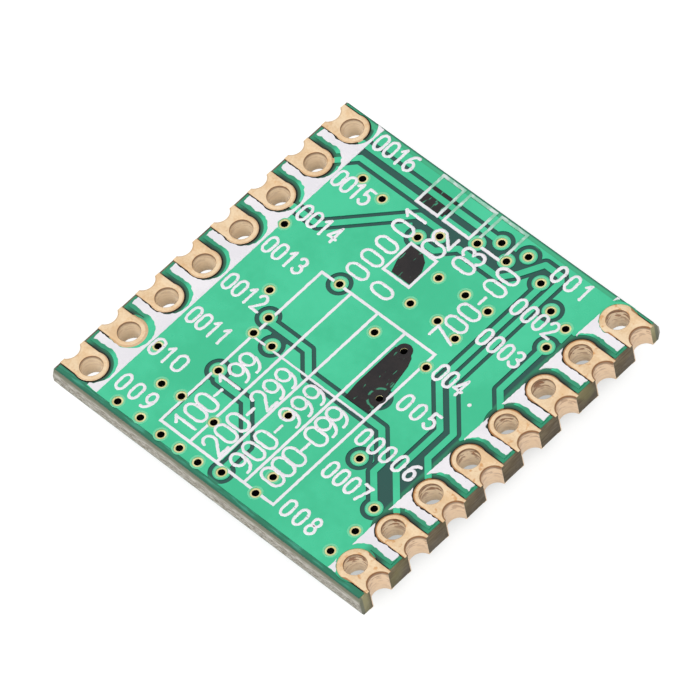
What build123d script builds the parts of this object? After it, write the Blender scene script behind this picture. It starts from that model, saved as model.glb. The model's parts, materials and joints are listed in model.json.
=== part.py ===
from build123d import *
import math
import os

os.makedirs("parts", exist_ok=True)

# A castellated sub-gigahertz radio module, 16 mm class, lying as in the picture: solder side up,
# component side down, resting on the flat face of its transceiver. +X runs from the left pad row to
# the right one, +Y along the rows, +Z out of the solder side, and z = 0 is the transceiver's face.
# Plan positions are millimetres from the middle of the drilled pad pattern.

# Bare board
board_width = 16.15
board_length = 16.0
board_thickness = 1.0
score_depth = 0.33
score_set_back = 0.13
pattern_x = -0.08
pattern_y = 0.10

# Copper, mask and print
copper = 0.04
plating = 0.03
track_width = 0.22
pour_gap = 0.21
pour_pull_back = 0.385
pour_side_pull_back = 0.20
smallest_island = 0.30
mask_on_laminate = 0.03
mask_on_copper = 0.02
mask_side_wall = 0.02
mask_gap = 0.05
mask_shift_x = 0.02
mask_pull_back = 0.08
legend_proud = 0.016
legend_line = 0.145
legend_rule = 0.11
legend_gap = 0.17
legend_shift_x = 0.07
legend_shift_y = 0.15
legend_pull_back = 0.12
legend_end_pull_back = 0.04
legend_band_left = 5.92
legend_band_right = 6.25
legend_front_margin = 0.24
legend_corner_reach = 0.39
ink_proud = 0.006

# Edge pads
pins_per_row = 8
pin_pitch = 2.0
row_spacing = 13.9
pad_hole_radius = 0.45
pad_ring_radius = 0.67
pad_half_width = 0.63
ground_ring_radius = 0.77
hole_to_notch = 1.27
notch_radius = 0.47
ground_pins = (1, 8, 10)

# Vias
via_hole_radius = 0.145
via_ring_radius = 0.27
via_annulus_radius = 0.33
via_antipad_radius = 0.55
via_opening_radius = 0.24

# Transceiver: a square leadless package with pads on all four sides
transceiver_size = 6.0
transceiver_height = 0.90
transceiver_x = 1.65
transceiver_y = 2.55
transceiver_pad_pitch = 0.65
transceiver_pads_per_side = 7
transceiver_pad_width = 0.30
transceiver_pad_length = 0.50
transceiver_pad_thickness = 0.20
transceiver_slug = 4.2
transceiver_standoff = 0.02
index_dimple_radius = 0.25
index_dimple_depth = 0.04
index_dimple_inset = 0.75

# Crystal: a ceramic tub with a metal lid
crystal_length = 3.2
crystal_width = 2.5
crystal_base_height = 0.45
crystal_lid_height = 0.25
crystal_lid_inset = 0.15
crystal_base_corner = 0.15
crystal_lid_corner = 0.12
crystal_x = -3.70
crystal_y = 2.90
crystal_pad_length = 0.90
crystal_pad_width = 0.75
crystal_pad_thickness = 0.03

# Antenna switch: a six-lead moulded package
switch_length = 2.0
switch_width = 1.25
switch_height = 0.78
switch_x = -1.10
switch_y = -4.20
switch_lead_pitch = 0.65
switch_lead_width = 0.22
switch_lead_thickness = 0.12
switch_foot = 0.26
switch_reach = 1.05

# Passive chips
chip_length = 1.0
chip_width = 0.5
capacitor_height = 0.50
resistor_height = 0.32
inductor_height = 0.45
chip_end = 0.25
chip_end_wall = 0.02
resistor_coat = 0.02

# Solder and lands on the component side
solder_gap = 0.05
land_margin = 0.04
land_toe = 0.25
fillet_rise = 0.22

# Heights of the board's faces
lower = transceiver_height + solder_gap + copper
upper = lower + board_thickness
seat = lower - copper - solder_gap

# Plated holes that join the ground areas of both faces
ground_vias = (
    (-5.00, 5.58), (5.73, 5.47), (-3.77, 5.38), (1.75, 4.20), (2.92, 4.20), (0.42, 4.13),
    (1.75, 2.70), (0.40, 2.63), (2.82, 2.54), (-5.85, 2.22), (2.88, 0.93), (1.74, 0.91),
    (0.27, 0.84), (-4.15, -0.29), (-3.25, -2.06), (0.39, -3.88), (-5.63, -4.77), (-3.34, -5.81),
    (-1.56, -5.87), (-4.32, -5.88), (5.92, -5.95), (1.88, -6.19), (1.87, -7.11), (5.82, -7.15),
    (-3.86, -7.46), (-5.04, -7.49), (-1.75, -7.50), (-2.72, -7.51), (-0.77, -7.51),
)

# Plated holes with a track on the solder side, named by what they carry
via_a = (1.16, 6.78)
via_b = (0.46, 6.18)
via_c = (-0.87, 5.52)
via_d = (-1.49, 4.96)
via_e = (3.58, 6.38)
via_f = (5.74, 4.41)
via_g = (-3.29, -1.22)
via_h = (5.77, -4.80)
via_i = (-3.08, -4.11)
via_j = (0.24, -7.26)
lone_vias = (
    (2.39, 6.95), (1.88, 6.28), (4.75, 5.70), (-2.28, 1.57), (2.52, -1.19), (-2.28, -2.06),
    (3.80, -3.56),
)
signal_vias = (via_a, via_b, via_c, via_d, via_e, via_f, via_g, via_h, via_i, via_j) + lone_vias


def pin_side(pin):
    """Minus one for the left row, plus one for the right row."""
    return 1 if pin <= pins_per_row else -1


def pin_y(pin):
    """Height of a pin along its row: the right row runs down, the left row runs up."""
    half_row = (pins_per_row - 1) / 2 * pin_pitch
    if pin <= pins_per_row:
        return half_row - (pin - 1) * pin_pitch
    return (pin - pins_per_row - 1) * pin_pitch - half_row


def pin_x(pin):
    return pin_side(pin) * row_spacing / 2


def edge_x(side):
    """The board's milled edge, seen from the middle of the pad pattern."""
    return side * board_width / 2 - pattern_x


def hole(pin):
    return (pin_x(pin), pin_y(pin))


pins = range(1, 2 * pins_per_row + 1)

# Tracks of the solder side, each from pad or via to pad or via
solder_tracks = (
    (hole(16), (-6.25, 6.77), (1.16, 6.77)),
    (hole(15), (-5.73, 6.22), (0.46, 6.22)),
    (hole(14), (-4.84, 3.00), (-2.12, 5.72), (-1.07, 5.72), via_c),
    (via_d, (-1.43, 4.90), (-0.57, 4.90), (0.08, 5.55), (2.15, 5.55), (2.62, 6.12), (3.15, 7.08),
     (3.95, 7.08), (4.13, 6.90), (4.13, 1.05), (5.77, -0.59), (5.77, -1.95), (6.45, -2.63), hole(6)),
    (via_e, (3.70, 6.26), (3.70, 0.78), (5.25, -0.77), (5.25, -3.10), (6.55, -4.40), hole(7)),
    (via_f, (5.72, 4.30), (5.72, 1.95), (6.35, 1.32), hole(4)),
    (via_g, (-3.18, -1.33), (-1.08, -1.33), (-0.31, -2.10), (3.53, -2.10), (4.61, -3.18),
     (4.61, -3.64), via_h),
    (via_i, (-2.77, -4.42), (-1.27, -4.42), (0.17, -5.86), (0.19, -7.00), via_j),
)

# Places where the ground area of the solder side is left out between tracks
solder_voids = (
    ((6.05, 5.45), (6.60, 5.45), (6.60, 1.30), (6.30, 1.35), (5.80, 1.90), (5.80, 4.90),
     (6.05, 4.90)),
    ((5.30, -0.75), (5.85, -0.50), (6.40, -0.75), (6.60, -3.00), (6.60, -5.00), (6.22, -5.45),
     (5.95, -5.00), (5.77, -4.80), (4.61, -3.64), (4.61, -3.00), (4.85, -2.85), (5.25, -2.70)),
    ((-2.75, -1.50), (-1.85, -1.50), (-1.95, -2.00), (-2.65, -2.00)),
    ((-0.90, 5.60), (-0.30, 5.20), (0.10, 5.60), (2.15, 5.60), (2.60, 6.10), (2.75, 6.50),
     (2.00, 6.90), (1.90, 6.50), (0.40, 6.50), (0.30, 6.00), (-0.90, 6.00)),
    ((-2.35, 5.50), (-1.50, 5.60), (-0.80, 5.15), (-1.50, 5.10), (-1.90, 5.10)),
)

# Tracks of the component side
component_tracks = (
    (via_c, (-0.79, 5.60), (-0.30, 5.60)),
    (via_b, (0.35, 6.07), (0.35, 5.60)),
    (via_a, (1.00, 6.62), (1.00, 5.60)),
    ((1.88, 6.28), (1.65, 6.05), (1.65, 5.60)),
    ((2.39, 6.95), (2.30, 6.86), (2.30, 5.60)),
    (via_e, (3.60, 5.60)),
    ((4.75, 5.70), (4.70, 4.50)),
    (hole(2), (5.45, 5.00), (5.20, 4.75), (5.20, 4.10), (4.95, 3.85), (4.70, 3.85)),
    (via_f, (5.74, 3.60), (5.34, 3.20), (4.70, 3.20)),
    (hole(3), (6.50, 2.55), (4.70, 2.55)),
    (hole(5), (5.35, 0.60), (4.70, 0.60)),
    (via_d, (-1.30, 4.60), (-1.30, 4.50)),
    ((-2.55, 3.75), (-1.85, 3.85), (-1.30, 3.85)),
    ((-2.55, 2.05), (-1.85, 1.90), (-1.30, 1.90)),
    (hole(13), (-1.95, 1.00), (-1.70, 1.25), (-1.30, 1.25)),
    (hole(12), (-5.60, 0.35), (-1.95, 0.35), (-1.70, 0.60), (-1.30, 0.60)),
    (hole(11), (-5.00, -3.00), (-3.95, -1.95), (-3.95, -1.00), (-3.35, -0.40), (-1.00, -0.40),
     (-0.80, -0.60), (-0.30, -0.60)),
    ((2.52, -1.19), (2.30, -0.97), (2.30, -0.60)),
    (hole(9), (-6.60, -6.65), (-5.10, -6.65)),
    ((-4.10, -6.65), (-3.30, -6.65)),
    ((-2.30, -6.65), (-1.50, -6.65)),
)

# Passive chips by kind: place and turn about the board's normal
capacitors = (
    (-1.40, -1.80, 90), (0.20, -1.80, 90), (1.80, -1.80, 90), (4.10, -1.80, 90),
    (-4.60, -6.65, 0), (-1.00, -6.65, 0), (1.30, -3.70, 90), (2.90, -3.70, 90),
    (-4.60, 7.05, 0), (-2.80, 7.05, 0), (-5.20, -1.90, 0), (5.60, 1.60, 90),
    (2.90, -6.30, 90), (5.00, 6.90, 0),
)
resistors = (
    (-0.60, -1.80, 90), (3.30, -1.80, 90), (2.10, -3.70, 90), (-4.60, 6.30, 0), (-1.00, 7.05, 0),
    (4.50, -6.30, 90),
)
inductors = (
    (1.00, -1.80, 90), (4.90, -1.80, 90), (-2.80, -6.65, 0), (-2.80, 6.30, 0), (-5.20, -4.00, 0),
    (3.70, -6.30, 90), (0.90, -6.10, 90),
)

# Print of the solder side
option_boxes = ((-2.68, -1.58), (-1.25, 0.08), (0.38, 1.70))
option_box_low = 6.13
option_box_high = 7.62
small_box = ((-1.47, 3.10), (-0.13, 4.60))
table_low = (-3.17, -7.07)
table_high = (2.76, 1.53)
table_columns = (-1.63, -0.21, 1.22)
table_row = -2.20
stop_dot = (5.33, 0.72)
stop_dot_radius = 0.09

# Strokes of a marker pen over three of the printed boxes
ink_patches = (
    ((-2.61, 6.20), (-1.40, 6.20), (-1.37, 6.64), (-2.61, 6.66)),
    ((-2.61, 6.90), (-1.38, 6.90), (-1.40, 7.06), (-2.61, 7.07)),
    ((-1.40, 4.50), (-0.85, 4.58), (-0.45, 4.30), (-0.23, 3.90), (-0.17, 3.20), (-1.15, 3.20),
     (-1.35, 3.70), (-1.43, 4.10)),
    ((1.35, 0.85), (1.55, 0.93), (2.00, 1.03), (2.20, 0.85), (2.35, 0.50), (2.47, -0.10),
     (2.57, -0.60), (2.66, -1.00), (2.66, -1.90), (1.45, -1.97), (1.36, -1.20)),
)


def joined(shapes):
    """One plan from many."""
    return Sketch() + list(shapes)


def disc(place, radius):
    return Pos(*place) * Circle(radius)


def block(x_low, x_high, y_low, y_high):
    """A plan rectangle between its limits."""
    middle = Pos((x_low + x_high) / 2, (y_low + y_high) / 2)
    return middle * Rectangle(abs(x_high - x_low), abs(y_high - y_low))


def area(points):
    return make_face(Polyline(*points, close=True))


def strip(points, width):
    """A strip with round ends that follows straight runs."""
    runs = []
    for (ax, ay), (bx, by) in zip(points, points[1:]):
        middle = Pos((ax + bx) / 2, (ay + by) / 2)
        turn = Rot(Z=math.degrees(math.atan2(by - ay, bx - ax)))
        runs.append(middle * turn * SlotCenterToCenter(math.hypot(bx - ax, by - ay), width))
    return joined(runs)


def raised(plan, low, high):
    """A plate of the given plan between two heights, moved onto the pad pattern's middle."""
    return Pos(pattern_x, pattern_y, low) * extrude(plan, amount=high - low)


def write(name, shape):
    """One file a node; a node of several pieces keeps them as separate solids."""
    solids = shape.solids() if not isinstance(shape, list) else [s for x in shape for s in x.solids()]
    node = Compound(children=solids) if len(solids) > 1 else solids[0]
    export_step(node, f"parts/{name}.step")


def board_plan(inset_x, inset_y):
    """The board's outline, drawn in by the given amounts."""
    across = Rectangle(board_width - 2 * inset_x, board_length - 2 * inset_y)
    return Pos(-pattern_x, -pattern_y) * across


def pad_plan(pin, ring, half_width):
    """An edge pad: a ring round its hole and a straight strip out to the board's edge."""
    x, y = hole(pin)
    out = edge_x(pin_side(pin))
    return disc(hole(pin), ring) + block(x, out, y - half_width, y + half_width)


def land_ring(pin):
    return ground_ring_radius if pin in ground_pins else pad_ring_radius


def land_plan(pin, grow=0.0):
    return pad_plan(pin, land_ring(pin) + grow, pad_half_width + grow)


def notch_place(pin):
    return (pin_x(pin) + pin_side(pin) * hole_to_notch, pin_y(pin))


def pour_keep_out(pin, gap):
    """What the ground area leaves free round a pad; a ground pad's ring stays joined to it."""
    x, y = hole(pin)
    if pin not in ground_pins:
        return pad_plan(pin, pad_ring_radius + gap, pad_half_width + gap)
    half = pad_half_width + gap
    return block(x, edge_x(pin_side(pin)), y - half, y + half) - disc(hole(pin), land_ring(pin))


def without_islands(plan):
    return joined(face for face in plan.faces() if face.area > smallest_island)


def solder_pour(grow):
    """The ground area of the solder side, or the same area grown for the mask that covers it."""
    gap = pour_gap - grow
    cuts = [pour_keep_out(pin, gap) for pin in pins]
    cuts += [strip(run, track_width + 2 * gap) for run in solder_tracks]
    cuts += [disc(via, via_antipad_radius - grow) for via in signal_vias]
    cuts += [offset(area(void), amount=-grow) if grow else area(void) for void in solder_voids]
    outline = board_plan(pour_side_pull_back - grow, pour_pull_back - grow)
    return without_islands(outline - joined(cuts))


def solder_track_plan(grow):
    """Tracks and via rings of the solder side."""
    runs = [strip(run, track_width + 2 * grow) for run in solder_tracks]
    runs += [disc(via, via_annulus_radius + grow) for via in signal_vias]
    return joined(runs)


def via_discs(grow):
    return joined(disc(via, via_ring_radius + grow) for via in ground_vias + signal_vias)


def lands_of_pads(grow=0.0):
    return joined(land_plan(pin, grow) for pin in pins)


def mask_openings():
    """Pads and via rings that the mask leaves bare, slightly off register."""
    pads = [pad_plan(pin, pad_ring_radius + mask_gap, pad_half_width + mask_gap) for pin in pins]
    shifted = Pos(mask_shift_x, 0) * joined(pads)
    return shifted + [disc(via, via_opening_radius) for via in ground_vias + signal_vias]


def notches(radius):
    return joined(disc(notch_place(pin), radius) for pin in pins)


def chip_lands(x, y, turn):
    """The two lands of one passive chip."""
    length = chip_end + land_toe + land_margin
    middle = chip_length / 2 - chip_end - land_margin + length / 2
    pair = [Pos(side * middle, 0) * Rectangle(length, chip_width) for side in (-1, 1)]
    return Pos(x, y) * Rot(Z=turn) * joined(pair)


def transceiver_offsets():
    """Turn and sideways offset of each of the transceiver's pads."""
    half_row = (transceiver_pads_per_side - 1) / 2
    return [
        (turn, (i - half_row) * transceiver_pad_pitch)
        for turn in (0, 90, 180, 270)
        for i in range(transceiver_pads_per_side)
    ]


def transceiver_plan(inner, outer, width):
    """Bars round the transceiver, one at each of its pads."""
    middle = (inner + outer) / 2
    bars = [
        Rot(Z=turn) * Pos(middle, side) * Rectangle(outer - inner, width)
        for turn, side in transceiver_offsets()
    ]
    return Pos(transceiver_x, transceiver_y) * joined(bars)


def slug_plan(grow=0.0):
    return Pos(transceiver_x, transceiver_y) * Rectangle(transceiver_slug + grow, transceiver_slug + grow)


def crystal_pads(grow=0.0):
    """The four corner pads of the crystal."""
    x = crystal_length / 2 - crystal_pad_length / 2
    y = crystal_width / 2 - crystal_pad_width / 2
    pads = [
        Pos(a * x, b * y) * Rectangle(crystal_pad_length + grow, crystal_pad_width + grow)
        for a in (-1, 1)
        for b in (-1, 1)
    ]
    return Pos(crystal_x, crystal_y) * joined(pads)


def switch_feet(grow=0.0):
    """The six feet of the antenna switch."""
    feet = [
        Pos(i * switch_lead_pitch, side * (switch_reach - switch_foot / 2))
        * Rectangle(switch_lead_width + grow, switch_foot + grow)
        for i in (-1, 0, 1)
        for side in (-1, 1)
    ]
    return Pos(switch_x, switch_y) * joined(feet)


def component_lands(grow=0.0):
    """Every land of the component side, the thermal one with its vias left free."""
    half = transceiver_size / 2
    bars = transceiver_plan(
        half - transceiver_pad_length - land_margin - grow / 2,
        half + land_toe + grow / 2,
        transceiver_pad_width + land_margin + grow,
    )
    chips = [chip_lands(*chip) for chip in capacitors + resistors + inductors]
    if grow:
        chips = [offset(chip, amount=grow / 2, kind=Kind.INTERSECTION) for chip in chips]
    plan = bars + slug_plan(grow) + crystal_pads(2 * land_margin + grow) + chips
    return plan + switch_feet(2 * land_margin + grow)


def component_pour(grow):
    """The ground area of the component side."""
    gap = pour_gap - grow
    cuts = [pour_keep_out(pin, gap) for pin in pins]
    cuts += [strip(run, track_width + 2 * gap) for run in component_tracks]
    cuts += [disc(via, via_antipad_radius - grow) for via in signal_vias]
    outline = board_plan(pour_side_pull_back - grow, pour_pull_back - grow)
    plan = outline - joined(cuts) - component_lands(2 * gap)
    return without_islands(plan)


def component_track_plan(grow):
    runs = [strip(run, track_width + 2 * grow) for run in component_tracks]
    runs += [disc(via, via_annulus_radius + grow) for via in signal_vias]
    return joined(runs)


def laminate():
    """The bare panel: scored long edges, milled pad edges, and every drilled hole."""
    half = board_length / 2
    neck = half - score_set_back
    low = lower + score_depth
    high = upper - score_depth
    section = area((
        (neck, lower), (half, low), (half, high), (neck, upper),
        (-neck, upper), (-half, high), (-half, low), (-neck, lower),
    ))
    panel = extrude(Plane.YZ * section, amount=board_width / 2, both=True)
    drills = [disc(hole(pin), pad_hole_radius + plating) for pin in pins]
    drills += [disc(via, via_hole_radius + plating) for via in ground_vias + signal_vias]
    drills += [notches(notch_radius + plating)]
    return panel - raised(joined(drills), lower, upper)


def edge_pad(pin):
    """Land, hole lining, notch lining and lower land of one pad, in one plated piece."""
    bare = disc(hole(pin), pad_hole_radius) + disc(notch_place(pin), notch_radius)
    linings = disc(hole(pin), pad_hole_radius + plating)
    linings += disc(notch_place(pin), notch_radius + plating) & board_plan(0, 0)
    plate = land_plan(pin) - bare
    body = raised(linings - bare, lower - copper, upper + copper)
    return body + raised(plate, upper, upper + copper) + raised(plate, lower - copper, lower)


def via_barrels(places):
    """Plated barrels with a ring on each face."""
    barrels = []
    for place in places:
        bore = disc(place, via_hole_radius)
        ring = disc(place, via_ring_radius) - bore
        tube = disc(place, via_hole_radius + plating) - bore
        barrels.append(
            raised(tube, lower, upper)
            + raised(ring, upper, upper + copper)
            + raised(ring, lower - copper, lower)
        )
    return barrels


def covered(copper_plan, grown_plan, openings, side):
    """Mask over one face: thin on the laminate, and stepped up over the copper."""
    face = board_plan(mask_pull_back, score_set_back) - notches(notch_radius + plating + mask_gap)
    open_face = face - openings
    over_copper = open_face & grown_plan
    step = copper + mask_on_copper
    if side > 0:
        low = raised(open_face, upper, upper + mask_on_laminate)
        high = raised(over_copper, upper, upper + step)
        return low + high - raised(copper_plan, upper, upper + copper)
    low = raised(open_face, lower - mask_on_laminate, lower)
    high = raised(over_copper, lower - step, lower)
    return low + high - raised(copper_plan, lower - copper, lower)


def frame_plan(low, high, line):
    """A printed rectangle, given by the middles of its lines."""
    width, height = high[0] - low[0], high[1] - low[1]
    middle = Pos((low[0] + high[0]) / 2, (low[1] + high[1]) / 2)
    return middle * (Rectangle(width + line, height + line) - Rectangle(width - line, height - line))


def legend_bands():
    """White bands along both pad rows, cut back round each pad and printed off register."""
    bands = block(edge_x(-1), -legend_band_left, -board_length, board_length)
    bands += block(legend_band_right, edge_x(1), -board_length, board_length)
    pads = [pad_plan(pin, pad_ring_radius + legend_gap, pad_half_width + legend_gap) for pin in pins]
    front = -board_length / 2 - pattern_y + score_set_back + legend_front_margin
    margin = block(edge_x(-1), edge_x(1), -board_length, front)
    return bands - Pos(legend_shift_x, legend_shift_y) * joined(pads) - margin - legend_front_corners()


def legend_front_corners():
    """What stays unprinted between the two front pads and the board's corners."""
    corners = []
    for side in (-1, 1):
        inner = side * (row_spacing / 2 - legend_corner_reach) + legend_shift_x
        low, high = sorted((inner, edge_x(side)))
        corners.append(block(low, high, -board_length, -(pins_per_row - 1) / 2 * pin_pitch))
    return joined(corners)


def legend_table():
    """The ruled table and the boxes beside it."""
    rules = frame_plan(table_low, table_high, legend_line)
    half = legend_line / 2
    for x in table_columns:
        rules += block(x - half, x + half, table_low[1], table_high[1])
    half_rule = legend_rule / 2
    rules += block(table_low[0], table_high[0], table_row - half_rule, table_row + half_rule)
    for left, right in option_boxes:
        rules += frame_plan((left, option_box_low), (right, option_box_high), legend_line)
    return rules + frame_plan(*small_box, legend_line) + disc(stop_dot, stop_dot_radius)


def solder_legend_plan(openings):
    inset = mask_pull_back + legend_pull_back
    page = board_plan(inset, score_set_back + legend_end_pull_back)
    return ((legend_bands() + legend_table()) & page) - openings


def film_on_mask(plan, grown_plan, top):
    """Print or ink with a level top that fills the mask's steps."""
    film = raised(plan, upper + mask_on_laminate, top)
    return film - raised(plan & grown_plan, upper, upper + copper + mask_on_copper)


def transceiver():
    """Moulded body, perimeter leads and heat slug, as three groups of solids."""
    half = transceiver_size / 2
    inner = half - transceiver_pad_length
    leads_plan = transceiver_plan(inner, half, transceiver_pad_width)
    leads = raised(leads_plan, seat - transceiver_pad_thickness, seat)
    slug = raised(slug_plan(), seat - transceiver_pad_thickness, seat)
    outline = Pos(transceiver_x, transceiver_y) * Rectangle(transceiver_size, transceiver_size)
    body = raised(outline, 0, seat - transceiver_standoff) - leads - slug
    corner = half - index_dimple_inset
    dimple = disc((transceiver_x - corner, transceiver_y + corner), index_dimple_radius)
    return body - raised(dimple, 0, index_dimple_depth), leads, slug


def crystal():
    """Ceramic base, metal lid and corner pads."""
    base_plan = Pos(crystal_x, crystal_y) * RectangleRounded(
        crystal_length, crystal_width, crystal_base_corner
    )
    lid_plan = Pos(crystal_x, crystal_y) * RectangleRounded(
        crystal_length - 2 * crystal_lid_inset,
        crystal_width - 2 * crystal_lid_inset,
        crystal_lid_corner,
    )
    top = seat - crystal_pad_thickness
    middle = top - crystal_base_height
    base = raised(base_plan, middle, top)
    lid = raised(lid_plan, middle - crystal_lid_height, middle)
    return base, lid, raised(crystal_pads(), top, seat)


def switch_lead(side):
    """One bent lead, as a flat strip that leaves the body and drops to its foot."""
    out = side * switch_width / 2
    foot = side * switch_reach
    knee = side * (switch_reach - switch_foot)
    t = switch_lead_thickness
    mid = seat - switch_height / 2
    turn = knee - side * t
    section = area((
        (out, mid), (out, mid - t), (knee, mid - t), (knee, seat - t), (foot, seat - t),
        (foot, seat), (turn, seat), (turn, mid),
    ))
    return extrude(Plane.YZ * section, amount=switch_lead_width / 2, both=True)


def antenna_switch():
    body_plan = Pos(switch_x, switch_y) * Rectangle(switch_length, switch_width)
    body = raised(body_plan, seat - switch_height, seat - transceiver_standoff)
    origin = Pos(pattern_x + switch_x, pattern_y + switch_y)
    leads = [
        origin * Pos(i * switch_lead_pitch, 0) * switch_lead(side) for i in (-1, 0, 1) for side in (-1, 1)
    ]
    return body, leads


def chip_core(height):
    """The ceramic core of a passive chip, free of its end caps."""
    wall = 2 * chip_end_wall
    return Pos(0, 0, seat - height / 2) * Box(chip_length - wall, chip_width - wall, height - wall)


def chip_ends(height):
    """The two cups that close a passive chip."""
    x = (chip_length - chip_end) / 2
    return [
        Pos(side * x, 0, seat - height / 2) * Box(chip_end, chip_width, height) - chip_core(height)
        for side in (-1, 1)
    ]


def placed(chips, shapes):
    """Copies of some solids at every place in a list of chips."""
    copies = []
    for x, y, turn in chips:
        place = Pos(pattern_x + x, pattern_y + y) * Rot(Z=turn)
        copies += [place * shape for shape in shapes]
    return copies


def resistor_coats():
    """The dark coat on the outer face of each resistor, between its end caps."""
    length = chip_length - 2 * chip_end
    low = seat - resistor_height + chip_end_wall
    plate = Pos(0, 0, low - resistor_coat / 2) * Box(length, chip_width - 2 * chip_end_wall, resistor_coat)
    return placed(resistors, [plate])


def chip_fillet():
    """Solder under one end of a chip and up its outer face."""
    outer = chip_length / 2
    inner = outer - chip_end
    toe = outer + land_toe - land_margin
    base = seat + solder_gap
    section = area((
        (inner, base), (toe, base), (toe, base - solder_gap / 2), (outer, seat - fillet_rise),
        (outer, seat), (inner, seat),
    ))
    width = chip_width - 2 * land_margin
    return extrude(Plane.XZ * section, amount=width / 2, both=True)


def solder_joints():
    """All solder: chip fillets, and the thin joints under the larger packages."""
    one = chip_fillet()
    joints = placed(capacitors + resistors + inductors, [one, Rot(Z=180) * one])
    half = transceiver_size / 2
    thin = transceiver_plan(half - transceiver_pad_length, half, transceiver_pad_width)
    thermal = slug_plan() - via_discs(0)
    joints += [raised(thin + thermal + crystal_pads() + switch_feet(), seat, seat + solder_gap)]
    return joints


def component_legend_plan(openings):
    """Plain outlines: a dot beside the transceiver's first pad and a frame round the crystal."""
    half = transceiver_size / 2 + land_toe + legend_line
    dot = disc((transceiver_x - half, transceiver_y + half), legend_line)
    low = (crystal_x - crystal_length / 2 - legend_line, crystal_y - crystal_width / 2 - legend_line)
    high = (crystal_x + crystal_length / 2 + legend_line, crystal_y + crystal_width / 2 + legend_line)
    return dot + frame_plan(low, high, legend_rule) - openings


def build_faces():
    """Copper, mask, print and ink of both faces."""
    pads = lands_of_pads()
    rings = via_discs(0)
    openings = mask_openings()

    pour = solder_pour(0)
    tracks = solder_track_plan(0) - pads - rings
    write("solder_side_ground", raised(pour - pads - rings, upper, upper + copper))
    write("solder_side_tracks", raised(tracks, upper, upper + copper))
    grown = solder_pour(mask_side_wall) + solder_track_plan(mask_side_wall)
    grown = grown + via_discs(mask_side_wall) + lands_of_pads(mask_side_wall)
    all_copper = pour + tracks + rings + pads
    write("solder_side_mask", covered(all_copper, grown, openings, 1))

    legend = solder_legend_plan(openings)
    top = upper + copper + mask_on_copper + legend_proud
    write("solder_side_legend", film_on_mask(legend, grown, top))
    ink = joined(area(patch) for patch in ink_patches) - legend - openings
    ink_top = upper + copper + mask_on_copper + ink_proud
    write("option_ink_marks", film_on_mask(ink, grown, ink_top))

    lands = component_lands()
    under_pour = component_pour(0)
    under_tracks = component_track_plan(0) - pads - rings - lands
    write("component_side_ground", raised(under_pour - pads - rings, lower - copper, lower))
    write("component_side_tracks", raised(under_tracks, lower - copper, lower))
    write("component_side_lands", raised(lands - rings, lower - copper, lower))
    under_grown = component_pour(mask_side_wall) + component_track_plan(mask_side_wall)
    under_grown = under_grown + via_discs(mask_side_wall) + lands_of_pads(mask_side_wall)
    under_open = openings + component_lands(2 * land_margin)
    under_copper = under_pour + under_tracks + rings + pads + lands
    write("component_side_mask", covered(under_copper, under_grown, under_open, -1))
    under_legend = component_legend_plan(under_open)
    low = lower - copper - mask_on_copper - legend_proud
    film = raised(under_legend, low, lower - mask_on_laminate)
    raised_part = raised(under_legend & under_grown, lower - copper - mask_on_copper, lower)
    write("component_side_legend", film - raised_part)


def build_plated_holes():
    for pin in pins:
        write(f"edge_pad_{pin:02d}", edge_pad(pin))
    write("ground_vias", via_barrels(ground_vias))
    write("signal_vias", via_barrels(signal_vias))


def build_components():
    body, leads, slug = transceiver()
    write("transceiver_body", body)
    write("transceiver_leads", leads)
    write("transceiver_heat_slug", slug)
    base, lid, crystal_terminals = crystal()
    write("crystal_base", base)
    write("crystal_lid", lid)
    write("crystal_terminals", crystal_terminals)
    switch_body, switch_leads = antenna_switch()
    write("antenna_switch_body", switch_body)
    write("antenna_switch_leads", switch_leads)
    for name, chips, height in (
        ("capacitor", capacitors, capacitor_height),
        ("resistor", resistors, resistor_height),
        ("inductor", inductors, inductor_height),
    ):
        write(f"{name}_bodies", placed(chips, [chip_core(height)]))
        write(f"{name}_ends", placed(chips, chip_ends(height)))
    write("resistor_coats", resistor_coats())
    write("solder_joints", solder_joints())


write("board_laminate", laminate())
build_plated_holes()
build_faces()
build_components()
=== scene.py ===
"""Dresses a castellated radio module that lies solder side up, then lights and frames it."""

import json
import logging
import math
from collections.abc import Iterable, Sequence
from dataclasses import dataclass, field
from enum import Enum

import bmesh
import bpy
from mathutils import Matrix, Quaternion, Vector, noise


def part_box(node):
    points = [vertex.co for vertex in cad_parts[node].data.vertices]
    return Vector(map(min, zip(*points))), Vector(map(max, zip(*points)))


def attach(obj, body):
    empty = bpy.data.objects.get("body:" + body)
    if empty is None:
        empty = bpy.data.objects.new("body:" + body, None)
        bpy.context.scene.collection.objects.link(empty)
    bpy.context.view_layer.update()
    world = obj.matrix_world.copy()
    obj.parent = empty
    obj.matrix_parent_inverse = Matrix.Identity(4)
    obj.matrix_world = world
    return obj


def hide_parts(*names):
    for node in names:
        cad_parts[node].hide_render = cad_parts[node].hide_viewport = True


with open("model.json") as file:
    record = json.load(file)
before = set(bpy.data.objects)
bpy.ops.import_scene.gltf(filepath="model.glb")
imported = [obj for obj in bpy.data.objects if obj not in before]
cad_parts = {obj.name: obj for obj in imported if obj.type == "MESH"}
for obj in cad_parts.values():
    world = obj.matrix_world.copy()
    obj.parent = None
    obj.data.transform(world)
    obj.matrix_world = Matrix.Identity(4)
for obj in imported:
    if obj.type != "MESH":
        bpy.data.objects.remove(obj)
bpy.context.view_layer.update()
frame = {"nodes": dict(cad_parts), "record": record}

LOG = logging.getLogger("module")
MM = 0.001
MERGE_MM = 1e-4
NEAR_MM = 1e-3
ALONG_LIMIT = 0.5  # a normal with a smaller part than this along an axis isn't taken to face along it
BODY = "root"
Tone = tuple[float, float, float, float]
Point = tuple[float, float]


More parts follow.
